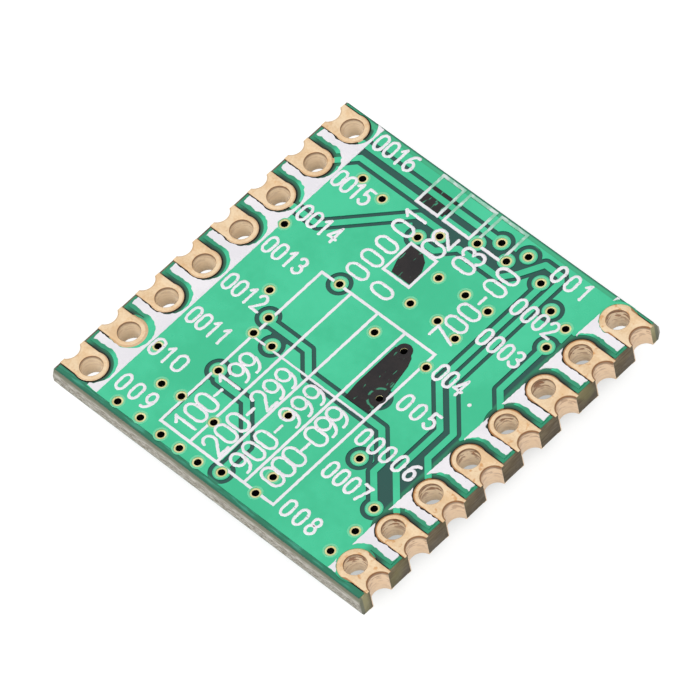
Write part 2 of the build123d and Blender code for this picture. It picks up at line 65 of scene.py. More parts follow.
class Slot(Enum):
    """Material slots of the record."""

    LAMINATE = "laminate"
    PAD_GOLD = "pad_gold"
    VIA_GOLD = "via_gold"
    COPPER = "copper"
    SOLDER_MASK = "solder_mask"
    LEGEND = "legend"
    MARKER_INK = "marker_ink"
    MOULD_COMPOUND = "mould_compound"
    TINNED_METAL = "tinned_metal"
    SOLDER = "solder"
    CRYSTAL_CERAMIC = "crystal_ceramic"
    CRYSTAL_METAL = "crystal_metal"
    CAPACITOR_CERAMIC = "capacitor_ceramic"
    RESISTOR_CERAMIC = "resistor_ceramic"
    RESISTOR_GLASS = "resistor_glass"
    INDUCTOR_CERAMIC = "inductor_ceramic"


class Reading(Enum):
    """Direction in which a printed number reads."""

    ACROSS = 0.0
    UPWARD = 90.0


def shade(red: float, green: float, blue: float) -> Tone:
    """Turns a display colour into the linear colour that a shader takes.

    Args:
        red: Display level from 0 to 255.
        green: Display level from 0 to 255.
        blue: Display level from 0 to 255.

    Returns:
        Linear red, green, blue and an opaque alpha.
    """

    def linear(level: float) -> float:
        """One channel, by the display's own curve."""
        part = level / 255
        return part / 12.92 if part <= 0.04045 else ((part + 0.055) / 1.055) ** 2.4

    return linear(red), linear(green), linear(blue), 1.0


class Wiring:
    """Adds nodes to a tree and joins them."""

    def __init__(self, tree: bpy.types.NodeTree) -> None:
        """Keeps the tree that the nodes go into."""
        self.tree = tree

    def add(self, kind: str, **settings: object) -> bpy.types.Node:
        """Makes a node.

        Args:
            kind: Blender's name for the node's type.
            **settings: Properties to set on the node.

        Returns:
            The new node.
        """
        node = self.tree.nodes.new(kind)
        for name, value in settings.items():
            setattr(node, name, value)
        return node

    def feed(self, node: bpy.types.Node, **inputs: object) -> bpy.types.Node:
        """Sets inputs to constants, or joins them to other sockets.

        Args:
            node: The node that takes the values.
            **inputs: Values by input name, with an underscore for each space.

        Returns:
            The same node.
        """
        for name, value in inputs.items():
            self.put(node.inputs[name.replace("_", " ")], value)
        return node

    def feed_keys(self, node: bpy.types.Node, **inputs: object) -> bpy.types.Node:
        """Sets inputs like feed does, where several of them share a name.

        Args:
            node: The node that takes the values.
            **inputs: Values by the input's identifier.

        Returns:
            The same node.
        """
        by_key = {socket.identifier: socket for socket in node.inputs}
        for key, value in inputs.items():
            self.put(by_key[key], value)
        return node

    def put(self, target: bpy.types.NodeSocket, value: object) -> None:
        """Joins one input to a socket, or sets it.

        Args:
            target: The input.
            value: The socket or the constant that it takes.
        """
        if isinstance(value, bpy.types.NodeSocket):
            self.tree.links.new(value, target)
        else:
            target.default_value = value

    def math(self, operation: str, *values: object) -> bpy.types.NodeSocket:
        """Works out one number.

        Args:
            operation: Blender's name for the operation.
            *values: Numbers or sockets, in the order of the node's inputs.

        Returns:
            The result's socket.
        """
        node = self.add("ShaderNodeMath", operation=operation)
        for target, value in zip(node.inputs, values):
            self.put(target, value)
        return node.outputs[0]

    def step(self, value: object, low: float, high: float) -> bpy.types.NodeSocket:
        """A soft step from 0 at low to 1 at high.

        Args:
            value: The number or socket that is tested.
            low: Where the step starts.
            high: Where it ends.

        Returns:
            The step's socket.
        """
        node = self.add("ShaderNodeMapRange", interpolation_type="SMOOTHSTEP")
        self.feed(node, Value=value, From_Min=low, From_Max=high)
        return node.outputs["Result"]

    def flip(self, value: object) -> bpy.types.NodeSocket:
        """One less the value."""
        return self.math("SUBTRACT", 1.0, value)

    def mix(self, amount: object, first: object, second: object) -> bpy.types.NodeSocket:
        """Mixes two colours.

        Args:
            amount: Share of the second colour.
            first: Colour or socket.
            second: Colour or socket.

        Returns:
            The mixed colour's socket.
        """
        node = self.add("ShaderNodeMix", data_type="RGBA")
        self.feed_keys(node, Factor_Float=amount, A_Color=first, B_Color=second)
        return next(socket for socket in node.outputs if socket.identifier == "Result_Color")

    def parts(self, vector: bpy.types.NodeSocket) -> tuple[bpy.types.NodeSocket, ...]:
        """The three coordinates of a vector."""
        return tuple(self.feed(self.add("ShaderNodeSeparateXYZ"), Vector=vector).outputs)

    def length(self, first: object, second: object) -> bpy.types.NodeSocket:
        """Length of the diagonal over two distances."""
        squares = (self.math("POWER", side, 2.0) for side in (first, second))
        return self.math("SQRT", self.math("ADD", *squares))

    def scaled(self, vector: object, by: Sequence[float]) -> bpy.types.NodeSocket:
        """A vector multiplied by three numbers.

        Args:
            vector: The vector's socket.
            by: A number for each axis.

        Returns:
            The product's socket.
        """
        node = self.add("ShaderNodeVectorMath", operation="MULTIPLY")
        self.put(node.inputs[0], vector)
        self.put(node.inputs[1], tuple(by))
        return node.outputs[0]

    def vector(self, x: object, y: object, z: object) -> bpy.types.NodeSocket:
        """A vector of three numbers or sockets."""
        return self.feed(self.add("ShaderNodeCombineXYZ"), X=x, Y=y, Z=z).outputs[0]

    def weigh(self, value: object, by: object, gain: float, base: float) -> bpy.types.NodeSocket:
        """A value times another one that is first multiplied by a gain and raised by a base."""
        return self.math("MULTIPLY", value, self.math("MULTIPLY_ADD", by, gain, base))

    def seen(self) -> bpy.types.NodeSocket:
        """One for camera, glossy and transmission rays, nought for the others.

        Returns:
            The share's socket.
        """
        rays = self.add("ShaderNodeLightPath").outputs
        seen = self.math("MAXIMUM", rays["Is Camera Ray"], rays["Is Glossy Ray"])
        return self.math("MAXIMUM", seen, rays["Is Transmission Ray"])

    def clouds(self, vector: object, scale: object, detail: float) -> bpy.types.NodeSocket:
        """Noise from 0 to 1.

        Args:
            vector: Where the noise is read.
            scale: Cells per millimetre.
            detail: Octaves.

        Returns:
            The noise's socket.
        """
        node = self.add("ShaderNodeTexNoise")
        self.feed(node, Vector=vector, Scale=scale, Detail=detail)
        return node.outputs["Fac"]


@dataclass(frozen=True)
class Speckle:
    """Noise stepped to a mask: cells per millimetre along each axis, octaves, and the step's two ends."""

    cells: tuple[float, float, float]
    octaves: float
    ends: Point

    def mask(self, wires: Wiring, place: bpy.types.NodeSocket) -> bpy.types.NodeSocket:
        """The mask's socket at a place."""
        return wires.step(wires.clouds(wires.scaled(place, self.cells), 1.0, self.octaves), *self.ends)


class SharedEffects:
    """Shader groups that several finishes use."""

    MOTTLE_ENDS = (0.36, 0.64)

    def __init__(self) -> None:
        """Builds each group once."""
        self.mottle = self._mottle()
        self.grain = self._grain()
        self.pad_distances = self._pad_distances()

    @staticmethod
    def _start(
        name: str, inputs: Iterable[str], *outputs: str
    ) -> tuple[Wiring, bpy.types.Node, bpy.types.Node]:
        """Makes a group with a place input, some number inputs and some number outputs.

        Args:
            name: Name of the group.
            inputs: Names of the number inputs.
            *outputs: Names of the outputs.

        Returns:
            The group's wiring, its input node and its output node.
        """
        tree = bpy.data.node_groups.new(name, "ShaderNodeTree")
        tree.interface.new_socket("Place", in_out="INPUT", socket_type="NodeSocketVector")
        for label in inputs:
            tree.interface.new_socket(label, in_out="INPUT", socket_type="NodeSocketFloat")
        for label in outputs:
            tree.interface.new_socket(label, in_out="OUTPUT", socket_type="NodeSocketFloat")
        wires = Wiring(tree)
        return wires, wires.add("NodeGroupInput"), wires.add("NodeGroupOutput")

    @staticmethod
    def _blend(
        wires: Wiring, entry: bpy.types.Node, octaves: dict[str, float], share: str
    ) -> bpy.types.NodeSocket:
        """Blends two noises.

        Args:
            wires: The group's wiring.
            entry: Its input node.
            octaves: Octaves of each noise, by the name of its scale input.
            share: Name of the input that gives the second noise's share.

        Returns:
            The blend's socket.
        """
        place = entry.outputs["Place"]
        first, second = (wires.clouds(place, entry.outputs[name], count) for name, count in octaves.items())
        blend = wires.add("ShaderNodeMix", data_type="FLOAT")
        wires.feed_keys(blend, Factor_Float=entry.outputs[share], A_Float=first, B_Float=second)
        return blend.outputs[0]

    def _mottle(self) -> bpy.types.NodeTree:
        """Soft patches with a finer second layer, as resin, ink and plating show.

        Returns:
            The group's tree.
        """
        wires, entry, leave = self._start("mottle", ("Patch Scale", "Fleck Scale", "Fleck Share"), "Mask")
        blend = self._blend(wires, entry, {"Patch Scale": 3.0, "Fleck Scale": 4.0}, "Fleck Share")
        wires.feed(leave, Mask=wires.step(blend, *self.MOTTLE_ENDS))
        return wires.tree

    def _grain(self) -> bpy.types.NodeTree:
        """Fine unevenness of a moulded, plated or printed surface.

        Returns:
            The group's tree.
        """
        wires, entry, leave = self._start("grain", ("Grain Scale", "Wave Scale", "Wave Share"), "Height")
        blend = self._blend(wires, entry, {"Grain Scale": 4.0, "Wave Scale": 1.0}, "Wave Share")
        wires.feed(leave, Height=blend)
        return wires.tree

    def _pad_distances(self) -> bpy.types.NodeTree:
        """Distances in millimetres from the nearest pad's hole, notch and middle line.

        Returns:
            The group's tree.
        """
        wires, entry, leave = self._start(
            "pad distances", ("Pitch", "Half Spacing", "Shift X", "Shift Y", "Hole To Notch"),
            "Out", "To Hole", "To Notch", "To Middle Line",
        )
        x, y, _ = wires.parts(entry.outputs["Place"])
        half = wires.math("DIVIDE", entry.outputs["Pitch"], 2.0)
        along = wires.math("SUBTRACT", y, wires.math("ADD", entry.outputs["Shift Y"], half))
        along = wires.math("WRAP", along, wires.math("MULTIPLY", half, -1.0), half)
        out = wires.math("ABSOLUTE", wires.math("SUBTRACT", x, entry.outputs["Shift X"]))
        across = wires.math("SUBTRACT", out, entry.outputs["Half Spacing"])
        beyond = wires.math("SUBTRACT", across, entry.outputs["Hole To Notch"])
        wires.feed(
            leave, Out=out, To_Hole=wires.length(along, across), To_Notch=wires.length(along, beyond),
            To_Middle_Line=wires.length(along, wires.math("MINIMUM", across, 0.0)),
        )
        return wires.tree


@dataclass(frozen=True)
class PadGrid:
    """Where the pad holes and notches lie, in millimetres."""

    pitch: float = 2.0
    half_spacing: float = 6.95
    shift: Point = (-0.08, 0.10)
    hole_to_notch: float = 1.27


PAD_GRID = PadGrid()


@dataclass(frozen=True)
class Ground:
    """What a finish works its colour out from: wiring, place, mottle mask and the shared groups."""

    wires: Wiring
    place: bpy.types.NodeSocket
    mottle: bpy.types.NodeSocket
    effects: SharedEffects

    def pads(self) -> bpy.types.Node:
        """The node that gives the distances from the nearest pad."""
        node = self.wires.add("ShaderNodeGroup", node_tree=self.effects.pad_distances)
        return self.wires.feed(
            node, Place=self.place, Pitch=PAD_GRID.pitch, Half_Spacing=PAD_GRID.half_spacing,
            Shift_X=PAD_GRID.shift[0], Shift_Y=PAD_GRID.shift[1], Hole_To_Notch=PAD_GRID.hole_to_notch,
        )


@dataclass(frozen=True)
class Finish:
    """A finish of two close tones with mottle between them and a fine grain."""

    slot: Slot
    tone: Tone
    worn_tone: Tone
    metallic: float = 0.0
    specular: float = 0.5
    roughness: tuple[float, float] = (0.45, 0.6)
    patch_scale: float = 0.8
    fleck_scale: float = 9.0
    fleck_share: float = 0.35
    grain_scale: float = 25.0
    wave_scale: float = 1.5
    wave_share: float = 0.3
    grain_depth_mm: float = 0.004

    def colour(self, ground: Ground) -> bpy.types.NodeSocket:
        """The base colour's socket: the two tones, mottled."""
        return ground.wires.mix(ground.mottle, self.tone, self.worn_tone)

    def metal_share(self, ground: Ground) -> object:
        """How metallic each place is: a number, or a socket where it varies."""
        return self.metallic

    def build(self, effects: SharedEffects) -> bpy.types.Material:
        """Makes the material.

        Args:
            effects: The shared shader groups.

        Returns:
            The material, named for its slot.
        """
        material = bpy.data.materials.new(self.slot.value)
        material.use_nodes = True
        wires = Wiring(material.node_tree)
        surface = material.node_tree.nodes["Principled BSDF"]
        coordinates = wires.add("ShaderNodeTexCoord")
        place = wires.scaled(coordinates.outputs["Object"], (1 / MM, 1 / MM, 1 / MM))
        mottle = wires.add("ShaderNodeGroup", node_tree=effects.mottle)
        wires.feed(
            mottle, Place=place, Patch_Scale=self.patch_scale, Fleck_Scale=self.fleck_scale,
            Fleck_Share=self.fleck_share,
        )
        grain = wires.add("ShaderNodeGroup", node_tree=effects.grain)
        wires.feed(
            grain, Place=place, Grain_Scale=self.grain_scale, Wave_Scale=self.wave_scale,
            Wave_Share=self.wave_share,
        )
        gloss = wires.add("ShaderNodeMapRange")
        wires.feed(gloss, Value=mottle.outputs["Mask"], To_Min=self.roughness[0], To_Max=self.roughness[1])
        bump = wires.add("ShaderNodeBump")
        wires.feed(bump, Strength=1.0, Distance=self.grain_depth_mm * MM, Height=grain.outputs["Height"])
        surface.inputs["Specular IOR Level"].default_value = self.specular
        ground = Ground(wires, place, mottle.outputs["Mask"], effects)
        wires.feed(
            surface, Base_Color=self.colour(ground), Metallic=self.metal_share(ground),
            Roughness=gloss.outputs["Result"], Normal=bump.outputs["Normal"],
        )
        return material


@dataclass(frozen=True)
class SolderMaskFinish(Finish):
    """Green resin: light over copper, dark on bare laminate, other greens round the pads and edges, and
    painted shade close to each pad.
    """

    bare_tone: Tone = shade(10, 74, 66)
    # painted shade: near-black green on the low resin right beside each pad
    painted_pad_shade_tone: Tone = shade(8, 44, 34)
    pad_far_tone: Tone = shade(24, 122, 88)
    pad_copper_tone: Tone = shade(40, 148, 110)
    side_tone: Tone = shade(30, 142, 104)
    front_tone: Tone = shade(22, 116, 86)
    front_light_tone: Tone = shade(52, 150, 122)
    back_tone: Tone = shade(56, 172, 126)
    brink_tone: Tone = shade(8, 100, 76)
    collar_tone: Tone = shade(112, 208, 160)
    bare_level_mm: float = 2.024
    copper_level_mm: float = 2.046
    collar_level_mm: tuple[float, float] = (2.0508, 2.0535)
    under_copper_level_mm: float = 0.934
    under_bare_level_mm: float = 0.956
    end_edge_mm: tuple[float, float] = (7.50, 7.60)
    brink_mm: tuple[float, float] = (7.77, 7.85)
    side_edge_mm: tuple[float, float] = (7.45, 7.95)
    pad_band_mm: tuple[float, float] = (6.00, 6.12)
    copper_band_mm: tuple[float, float] = (6.60, 7.00)
    pad_shadow_mm: tuple[float, float] = (0.68, 0.90)
    front_to_back_mm: tuple[float, float] = (-1.0, 1.0)
    front_streaks: Speckle = Speckle((1.2, 9.0, 1.0), 3.0, (0.46, 0.66))

    def colour(self, ground: Ground) -> bpy.types.NodeSocket:
        """The base colour's socket, chosen by the resin's level and its distance from pads and edges.

        Args:
            ground: What the colour is worked out from.

        Returns:
            The colour's socket.
        """
        wires = ground.wires
        _, y, z = wires.parts(ground.place)
        pads = ground.pads().outputs
        out, near_pad = pads["Out"], pads["To Middle Line"]
        far = wires.math("ABSOLUTE", y)
        top = wires.step(z, self.bare_level_mm, self.copper_level_mm)
        under = wires.flip(wires.step(z, self.under_copper_level_mm, self.under_bare_level_mm))
        streak = self.front_streaks.mask(wires, ground.place)
        front = wires.mix(streak, self.front_tone, self.front_light_tone)
        end = wires.mix(wires.step(y, *self.front_to_back_mm), front, self.back_tone)
        end = wires.mix(wires.step(far, *self.brink_mm), end, self.brink_tone)
        # painted shade beside each pad, dark at the pad and fading to the outer green
        beside = wires.mix(wires.step(near_pad, *self.pad_shadow_mm), self.painted_pad_shade_tone, self.pad_far_tone)
        beside = wires.mix(wires.step(out, *self.side_edge_mm), beside, self.side_tone)
        low = wires.mix(wires.step(out, *self.pad_band_mm), self.bare_tone, beside)
        low = wires.mix(wires.step(far, *self.end_edge_mm), low, end)
        high = super().colour(ground)
        high = wires.mix(wires.step(out, *self.copper_band_mm), high, self.pad_copper_tone)
        high = wires.mix(wires.step(z, *self.collar_level_mm), high, self.collar_tone)
        return wires.mix(wires.math("MAXIMUM", top, under), low, high)


@dataclass(frozen=True)
class LaminateFinish(Finish):
    """Brown glass-epoxy: layered on milled edges, grey and torn in the scores, with painted near-black shade
    on its face in the pad gaps.
    """

    torn_tone: Tone = shade(206, 203, 193)
    torn_dark: Tone = shade(146, 139, 124)
    # painted shade: the face seen in the gaps round the pads, near-black rather than the laminate's brown
    gap_shade_tone: Tone = shade(22, 18, 12)
    tint_tone: Tone = shade(136, 130, 88)
    corner_tone: Tone = shade(168, 162, 122)
    score_tone: Tone = shade(126, 128, 108)
    tint_share: float = 0.6
    corner_y_mm: tuple[float, float] = (7.35, 7.60)
    corner_x_mm: tuple[float, float] = (7.60, 7.90)
    score_from_mm: tuple[float, float] = (7.76, 7.80)
    torn_from_mm: tuple[float, float] = (7.90, 7.965)
    face_level_mm: tuple[float, float] = (1.980, 1.988)
    bare_side_mm: tuple[float, float] = (7.90, 7.95)
    layers: Speckle = Speckle((1.5, 1.5, 16.0), 3.0, (0.38, 0.62))
    tints: Speckle = Speckle((0.9, 0.9, 0.9), 1.0, (0.52, 0.70))
    torn_streaks: Speckle = Speckle((2.5, 2.5, 26.0), 4.0, (0.36, 0.60))

    def colour(self, ground: Ground) -> bpy.types.NodeSocket:
        """The base colour's socket.

        Args:
            ground: What the colour is worked out from.

        Returns:
            The colour's socket.
        """
        wires = ground.wires
        x, y, z = wires.parts(ground.place)
        far = wires.math("ABSOLUTE", y)
        brown = wires.mix(self.layers.mask(wires, ground.place), self.tone, self.worn_tone)
        tint = wires.math("MULTIPLY", self.tints.mask(wires, ground.place), self.tint_share)
        brown = wires.mix(tint, brown, self.tint_tone)
        corner = wires.math("MULTIPLY", wires.step(far, *self.corner_y_mm), wires.step(x, *self.corner_x_mm))
        brown = wires.mix(corner, brown, self.corner_tone)
        brown = wires.mix(wires.step(far, *self.score_from_mm), brown, self.score_tone)
        torn = wires.mix(self.torn_streaks.mask(wires, ground.place), self.torn_dark, self.torn_tone)
        milled = wires.mix(wires.step(far, *self.torn_from_mm), brown, torn)
        inside = wires.flip(wires.step(wires.math("ABSOLUTE", x), *self.bare_side_mm))
        # painted shade on the top face inside the board's sides, which shows in the pad gaps
        on_face = wires.math("MULTIPLY", wires.step(z, *self.face_level_mm), inside)
        return wires.mix(on_face, milled, self.gap_shade_tone)


@dataclass(frozen=True)
class PadGoldFinish(Finish):
    """Satin gold on the pads with painted brown shade round the rims and under the wall lips, pale walls
    painted as lit, and drill marks on the lined walls.
    """

    # painted shade: brown round the rims of the holes and notches
    rim_shade_tone: Tone = shade(128, 82, 44)
    edge_tone: Tone = shade(150, 96, 48)
    stain_tone: Tone = shade(206, 142, 76)
    # painted light: pale, lit copies of the gold for the hole and notch walls
    lit_wall_tone: Tone = shade(255, 235, 204)
    lit_notch_tone: Tone = shade(255, 224, 188)
    mark_tone: Tone = shade(150, 98, 58)
    # painted shade under the top lip of each lined wall
    lip_shade_tone: Tone = shade(112, 70, 40)
    hole_rim_mm: tuple[float, float] = (0.450, 0.475)
    notch_rim_mm: tuple[float, float] = (0.500, 0.535)
    outer_mm: tuple[float, float] = (0.56, 0.64)
    edge_mm: tuple[float, float] = (0.600, 0.635)
    ground_growth_mm: float = 0.10
    ground_pins_y_mm: tuple[float, float] = (6.0, 6.2)
    wall_level_mm: tuple[float, float] = (1.985, 2.015)
    lip_level_mm: tuple[float, float] = (1.86, 1.97)
    notch_from_mm: tuple[float, float] = (7.50, 7.60)
    lip_shade_share: float = 0.70
    marked_level_mm: tuple[float, float] = (1.25, 1.80)
    wall_metal: float = 0.15
    rim_shade_share: float = 0.92
    left_to_right_mm: tuple[float, float] = (-1.0, 1.0)
    growth_ends_mm: tuple[float, float] = (6.9, 7.1)
    notch_rim_by_row: Point = (0.7, 0.3)
    ring_by_row: Point = (0.45, 0.15)
    edge_by_row: Point = (0.5, 0.3)
    spots_by_row: Point = (0.45, 0.20)
    marks_by_row: Point = (0.70, 0.20)
    marks_by_notch: Point = (-0.5, 1.0)
    marks_by_depth: Point = (0.8, 0.2)
    patches: Speckle = Speckle((2.2, 2.2, 2.2), 3.0, (0.42, 0.62))
    spots: Speckle = Speckle((3.0, 3.0, 3.0), 3.0, (0.58, 0.70))
    drill_marks: Speckle = Speckle((2.6, 2.6, 9.0), 3.0, (0.50, 0.57))

    def metal_share(self, ground: Ground) -> object:
        """Metallic on the faces and less so on the lined walls, so that their pale painted-light tone shows
        bright.

        Args:
            ground: What the share is worked out from.

        Returns:
            The share's socket.
        """
        z = ground.wires.parts(ground.place)[2]
        on_face = ground.wires.step(z, *self.wall_level_mm)
        return ground.wires.math("MULTIPLY_ADD", on_face, self.metallic - self.wall_metal, self.wall_metal)

    def colour(self, ground: Ground) -> bpy.types.NodeSocket:
        """The base colour's socket, from the distance to the nearest pad hole, notch and outline.

        Args:
            ground: What the colour is worked out from.

        Returns:
            The colour's socket.
        """
        wires = ground.wires
        x, y, z = wires.parts(ground.place)
        pads = ground.pads().outputs
        right = wires.step(x, *self.left_to_right_mm)
        hole_rim = wires.flip(wires.step(pads["To Hole"], *self.hole_rim_mm))
        notch_rim = wires.flip(wires.step(pads["To Notch"], *self.notch_rim_mm))
        notch_rim = wires.weigh(notch_rim, right, *self.notch_rim_by_row)
        rim = wires.math("MULTIPLY", wires.math("MAXIMUM", hole_rim, notch_rim), self.rim_shade_share)
        grown = wires.math("MULTIPLY", wires.step(wires.math("ABSOLUTE", y), *self.ground_pins_y_mm), right)
        grown = wires.math("MULTIPLY", grown, wires.flip(wires.step(pads["Out"], *self.growth_ends_mm)))
        growth = wires.math("MULTIPLY", grown, self.ground_growth_mm)
        reach = wires.math("SUBTRACT", pads["To Middle Line"], growth)
        patchy = self.patches.mask(wires, ground.place)
        ring = wires.math("MULTIPLY", wires.step(reach, *self.outer_mm), patchy)
        ring = wires.weigh(ring, right, *self.ring_by_row)
        edge = wires.weigh(wires.step(reach, *self.edge_mm), right, *self.edge_by_row)
        spots = wires.weigh(self.spots.mask(wires, ground.place), right, *self.spots_by_row)
        gold = super().colour(ground)
        gold = wires.mix(wires.math("MAXIMUM", ring, spots), gold, self.stain_tone)
        gold = wires.mix(edge, gold, self.edge_tone)
        # painted shade round the hole and notch rims
        gold = wires.mix(rim, gold, self.rim_shade_tone)
        in_notch = wires.step(pads["Out"], *self.notch_from_mm)
        return wires.mix(wires.step(z, *self.wall_level_mm), self.wall(ground, z, right, in_notch), gold)

    def wall(
        self, ground: Ground, z: bpy.types.NodeSocket, right: bpy.types.NodeSocket,
        in_notch: bpy.types.NodeSocket,
    ) -> bpy.types.NodeSocket:
        """The lined wall's colour: a pale tone painted as lit, level drill marks that fade downwards,
        stronger in the right row, and painted shade under the lip.

        Args:
            ground: What the colour is worked out from.
            z: The place's level.
            right: One in the right row, nought in the left.
            in_notch: One in a notch, nought in a hole.

        Returns:
            The colour's socket.
        """
        wires = ground.wires
        marks = wires.weigh(self.drill_marks.mask(wires, ground.place), right, *self.marks_by_row)
        marks = wires.weigh(marks, in_notch, *self.marks_by_notch)
        marks = wires.weigh(marks, wires.step(z, *self.marked_level_mm), *self.marks_by_depth)
        # painted light: the pale lit tones of the hole and notch walls
        plain = wires.mix(in_notch, self.lit_wall_tone, self.lit_notch_tone)
        tone = wires.mix(marks, plain, self.mark_tone)
        # painted shade that darkens the top of each lined wall under its lip
        lip = wires.math("MULTIPLY", wires.step(z, *self.lip_level_mm), self.lip_shade_share)
        return wires.mix(lip, tone, self.lip_shade_tone)


@dataclass(frozen=True)
class BarrelFinish(Finish):
    """Pale gold ring on the face and a bore painted near-black as shade."""

    # painted shade: the plated bore is near-black, as a narrow hole lies in shadow
    bore_shade_tone: Tone = shade(14, 10, 8)
    ring_from_mm: tuple[float, float] = (2.016, 2.027)
    under_ring_mm: tuple[float, float] = (0.953, 0.964)

    def colour(self, ground: Ground) -> bpy.types.NodeSocket:
        """The base colour's socket: gold at the level of either ring, painted shade between them.

        Args:
            ground: What the colour is worked out from.

        Returns:
            The colour's socket.
        """
        wires = ground.wires
        z = wires.parts(ground.place)[2]
        top = wires.step(z, *self.ring_from_mm)
        under = wires.flip(wires.step(z, *self.under_ring_mm))
        return wires.mix(wires.math("MAXIMUM", top, under), self.bore_shade_tone, super().colour(ground))


@dataclass(frozen=True)
class MarkerInkFinish(Finish):
    """Dried marker ink with green scratches, the arc of a worn pen tip among them."""

    scratch_tone: Tone = shade(62, 142, 110)
    arc_centre_mm: Point = (2.44, -1.09)
    arc_radius_mm: float = 0.45
    arc_fade_mm: tuple[float, float] = (0.0225, 0.063)
    arc_wear: Speckle = Speckle((5.0, 5.0, 5.0), 3.0, (0.44, 0.54))
    scratches: Speckle = Speckle((7.0, 1.6, 1.0), 4.0, (0.63, 0.68))

    def colour(self, ground: Ground) -> bpy.types.NodeSocket:
        """The base colour's socket: ink, the pen tip's arc and fine scratches.

        Args:
            ground: What the colour is worked out from.

        Returns:
            The colour's socket.
        """
        wires = ground.wires
        x, y, _ = wires.parts(ground.place)
        sides = (wires.math("SUBTRACT", part, middle) for part, middle in zip((x, y), self.arc_centre_mm))
        reach = wires.length(*sides)
        off = wires.math("ABSOLUTE", wires.math("SUBTRACT", reach, self.arc_radius_mm))
        arc_line = wires.flip(wires.step(off, *self.arc_fade_mm))
        arc_line = wires.math("MULTIPLY", arc_line, self.arc_wear.mask(wires, ground.place))
        bare = wires.math("MAXIMUM", arc_line, self.scratches.mask(wires, ground.place))
        return wires.mix(bare, super().colour(ground), self.scratch_tone)


@dataclass(frozen=True)
class LegendFinish(Finish):
    """White print with a few pinholes that show the green under it."""

    pinhole_tone: Tone = shade(128, 150, 142)
    faded_tone: Tone = shade(96, 190, 150)
    faded_x_mm: tuple[float, float] = (-2.95, 1.85)
    faded_y_mm: tuple[float, float] = (6.30, 6.90)
    faded_run_mm: float = 0.1
    faded_by_patch: Point = (0.55, 0.25)
    faded_patches: Speckle = Speckle((2.6, 2.6, 2.6), 4.0, (0.38, 0.58))
    worn_x_mm: tuple[float, float] = (6.0, 6.3)
    worn_y_mm: tuple[float, float] = (-6.2, -5.4)
    pinhole_scale: float = 9.0
    pinhole_by_wear: Point = (-0.10, 0.80)
    pinhole_run: float = 0.03

    def colour(self, ground: Ground) -> bpy.types.NodeSocket:
        """The base colour's socket: white with pinholes, thin over the boxes and near the front right.

        Args:
            ground: What the colour is worked out from.

        Returns:
            The colour's socket.
        """
        wires = ground.wires
        x, y, _ = wires.parts(ground.place)
        past_left, past_right = (wires.step(x, edge, edge + self.faded_run_mm) for edge in self.faded_x_mm)
        beside = wires.math("MULTIPLY", past_left, wires.flip(past_right))
        faded = wires.math("MULTIPLY", wires.step(y, *self.faded_y_mm), beside)
        faded = wires.weigh(faded, self.faded_patches.mask(wires, ground.place), *self.faded_by_patch)
        near = wires.flip(wires.step(y, *self.worn_y_mm))
        worn = wires.math("MULTIPLY", wires.step(x, *self.worn_x_mm), near)
        level = wires.math("MULTIPLY_ADD", worn, *self.pinhole_by_wear)
        holes = wires.clouds(ground.place, self.pinhole_scale, 2.0)
        pinholes = wires.step(wires.math("SUBTRACT", holes, level), 0.0, self.pinhole_run)
        white = wires.mix(faded, super().colour(ground), self.faded_tone)
        return wires.mix(pinholes, white, self.pinhole_tone)


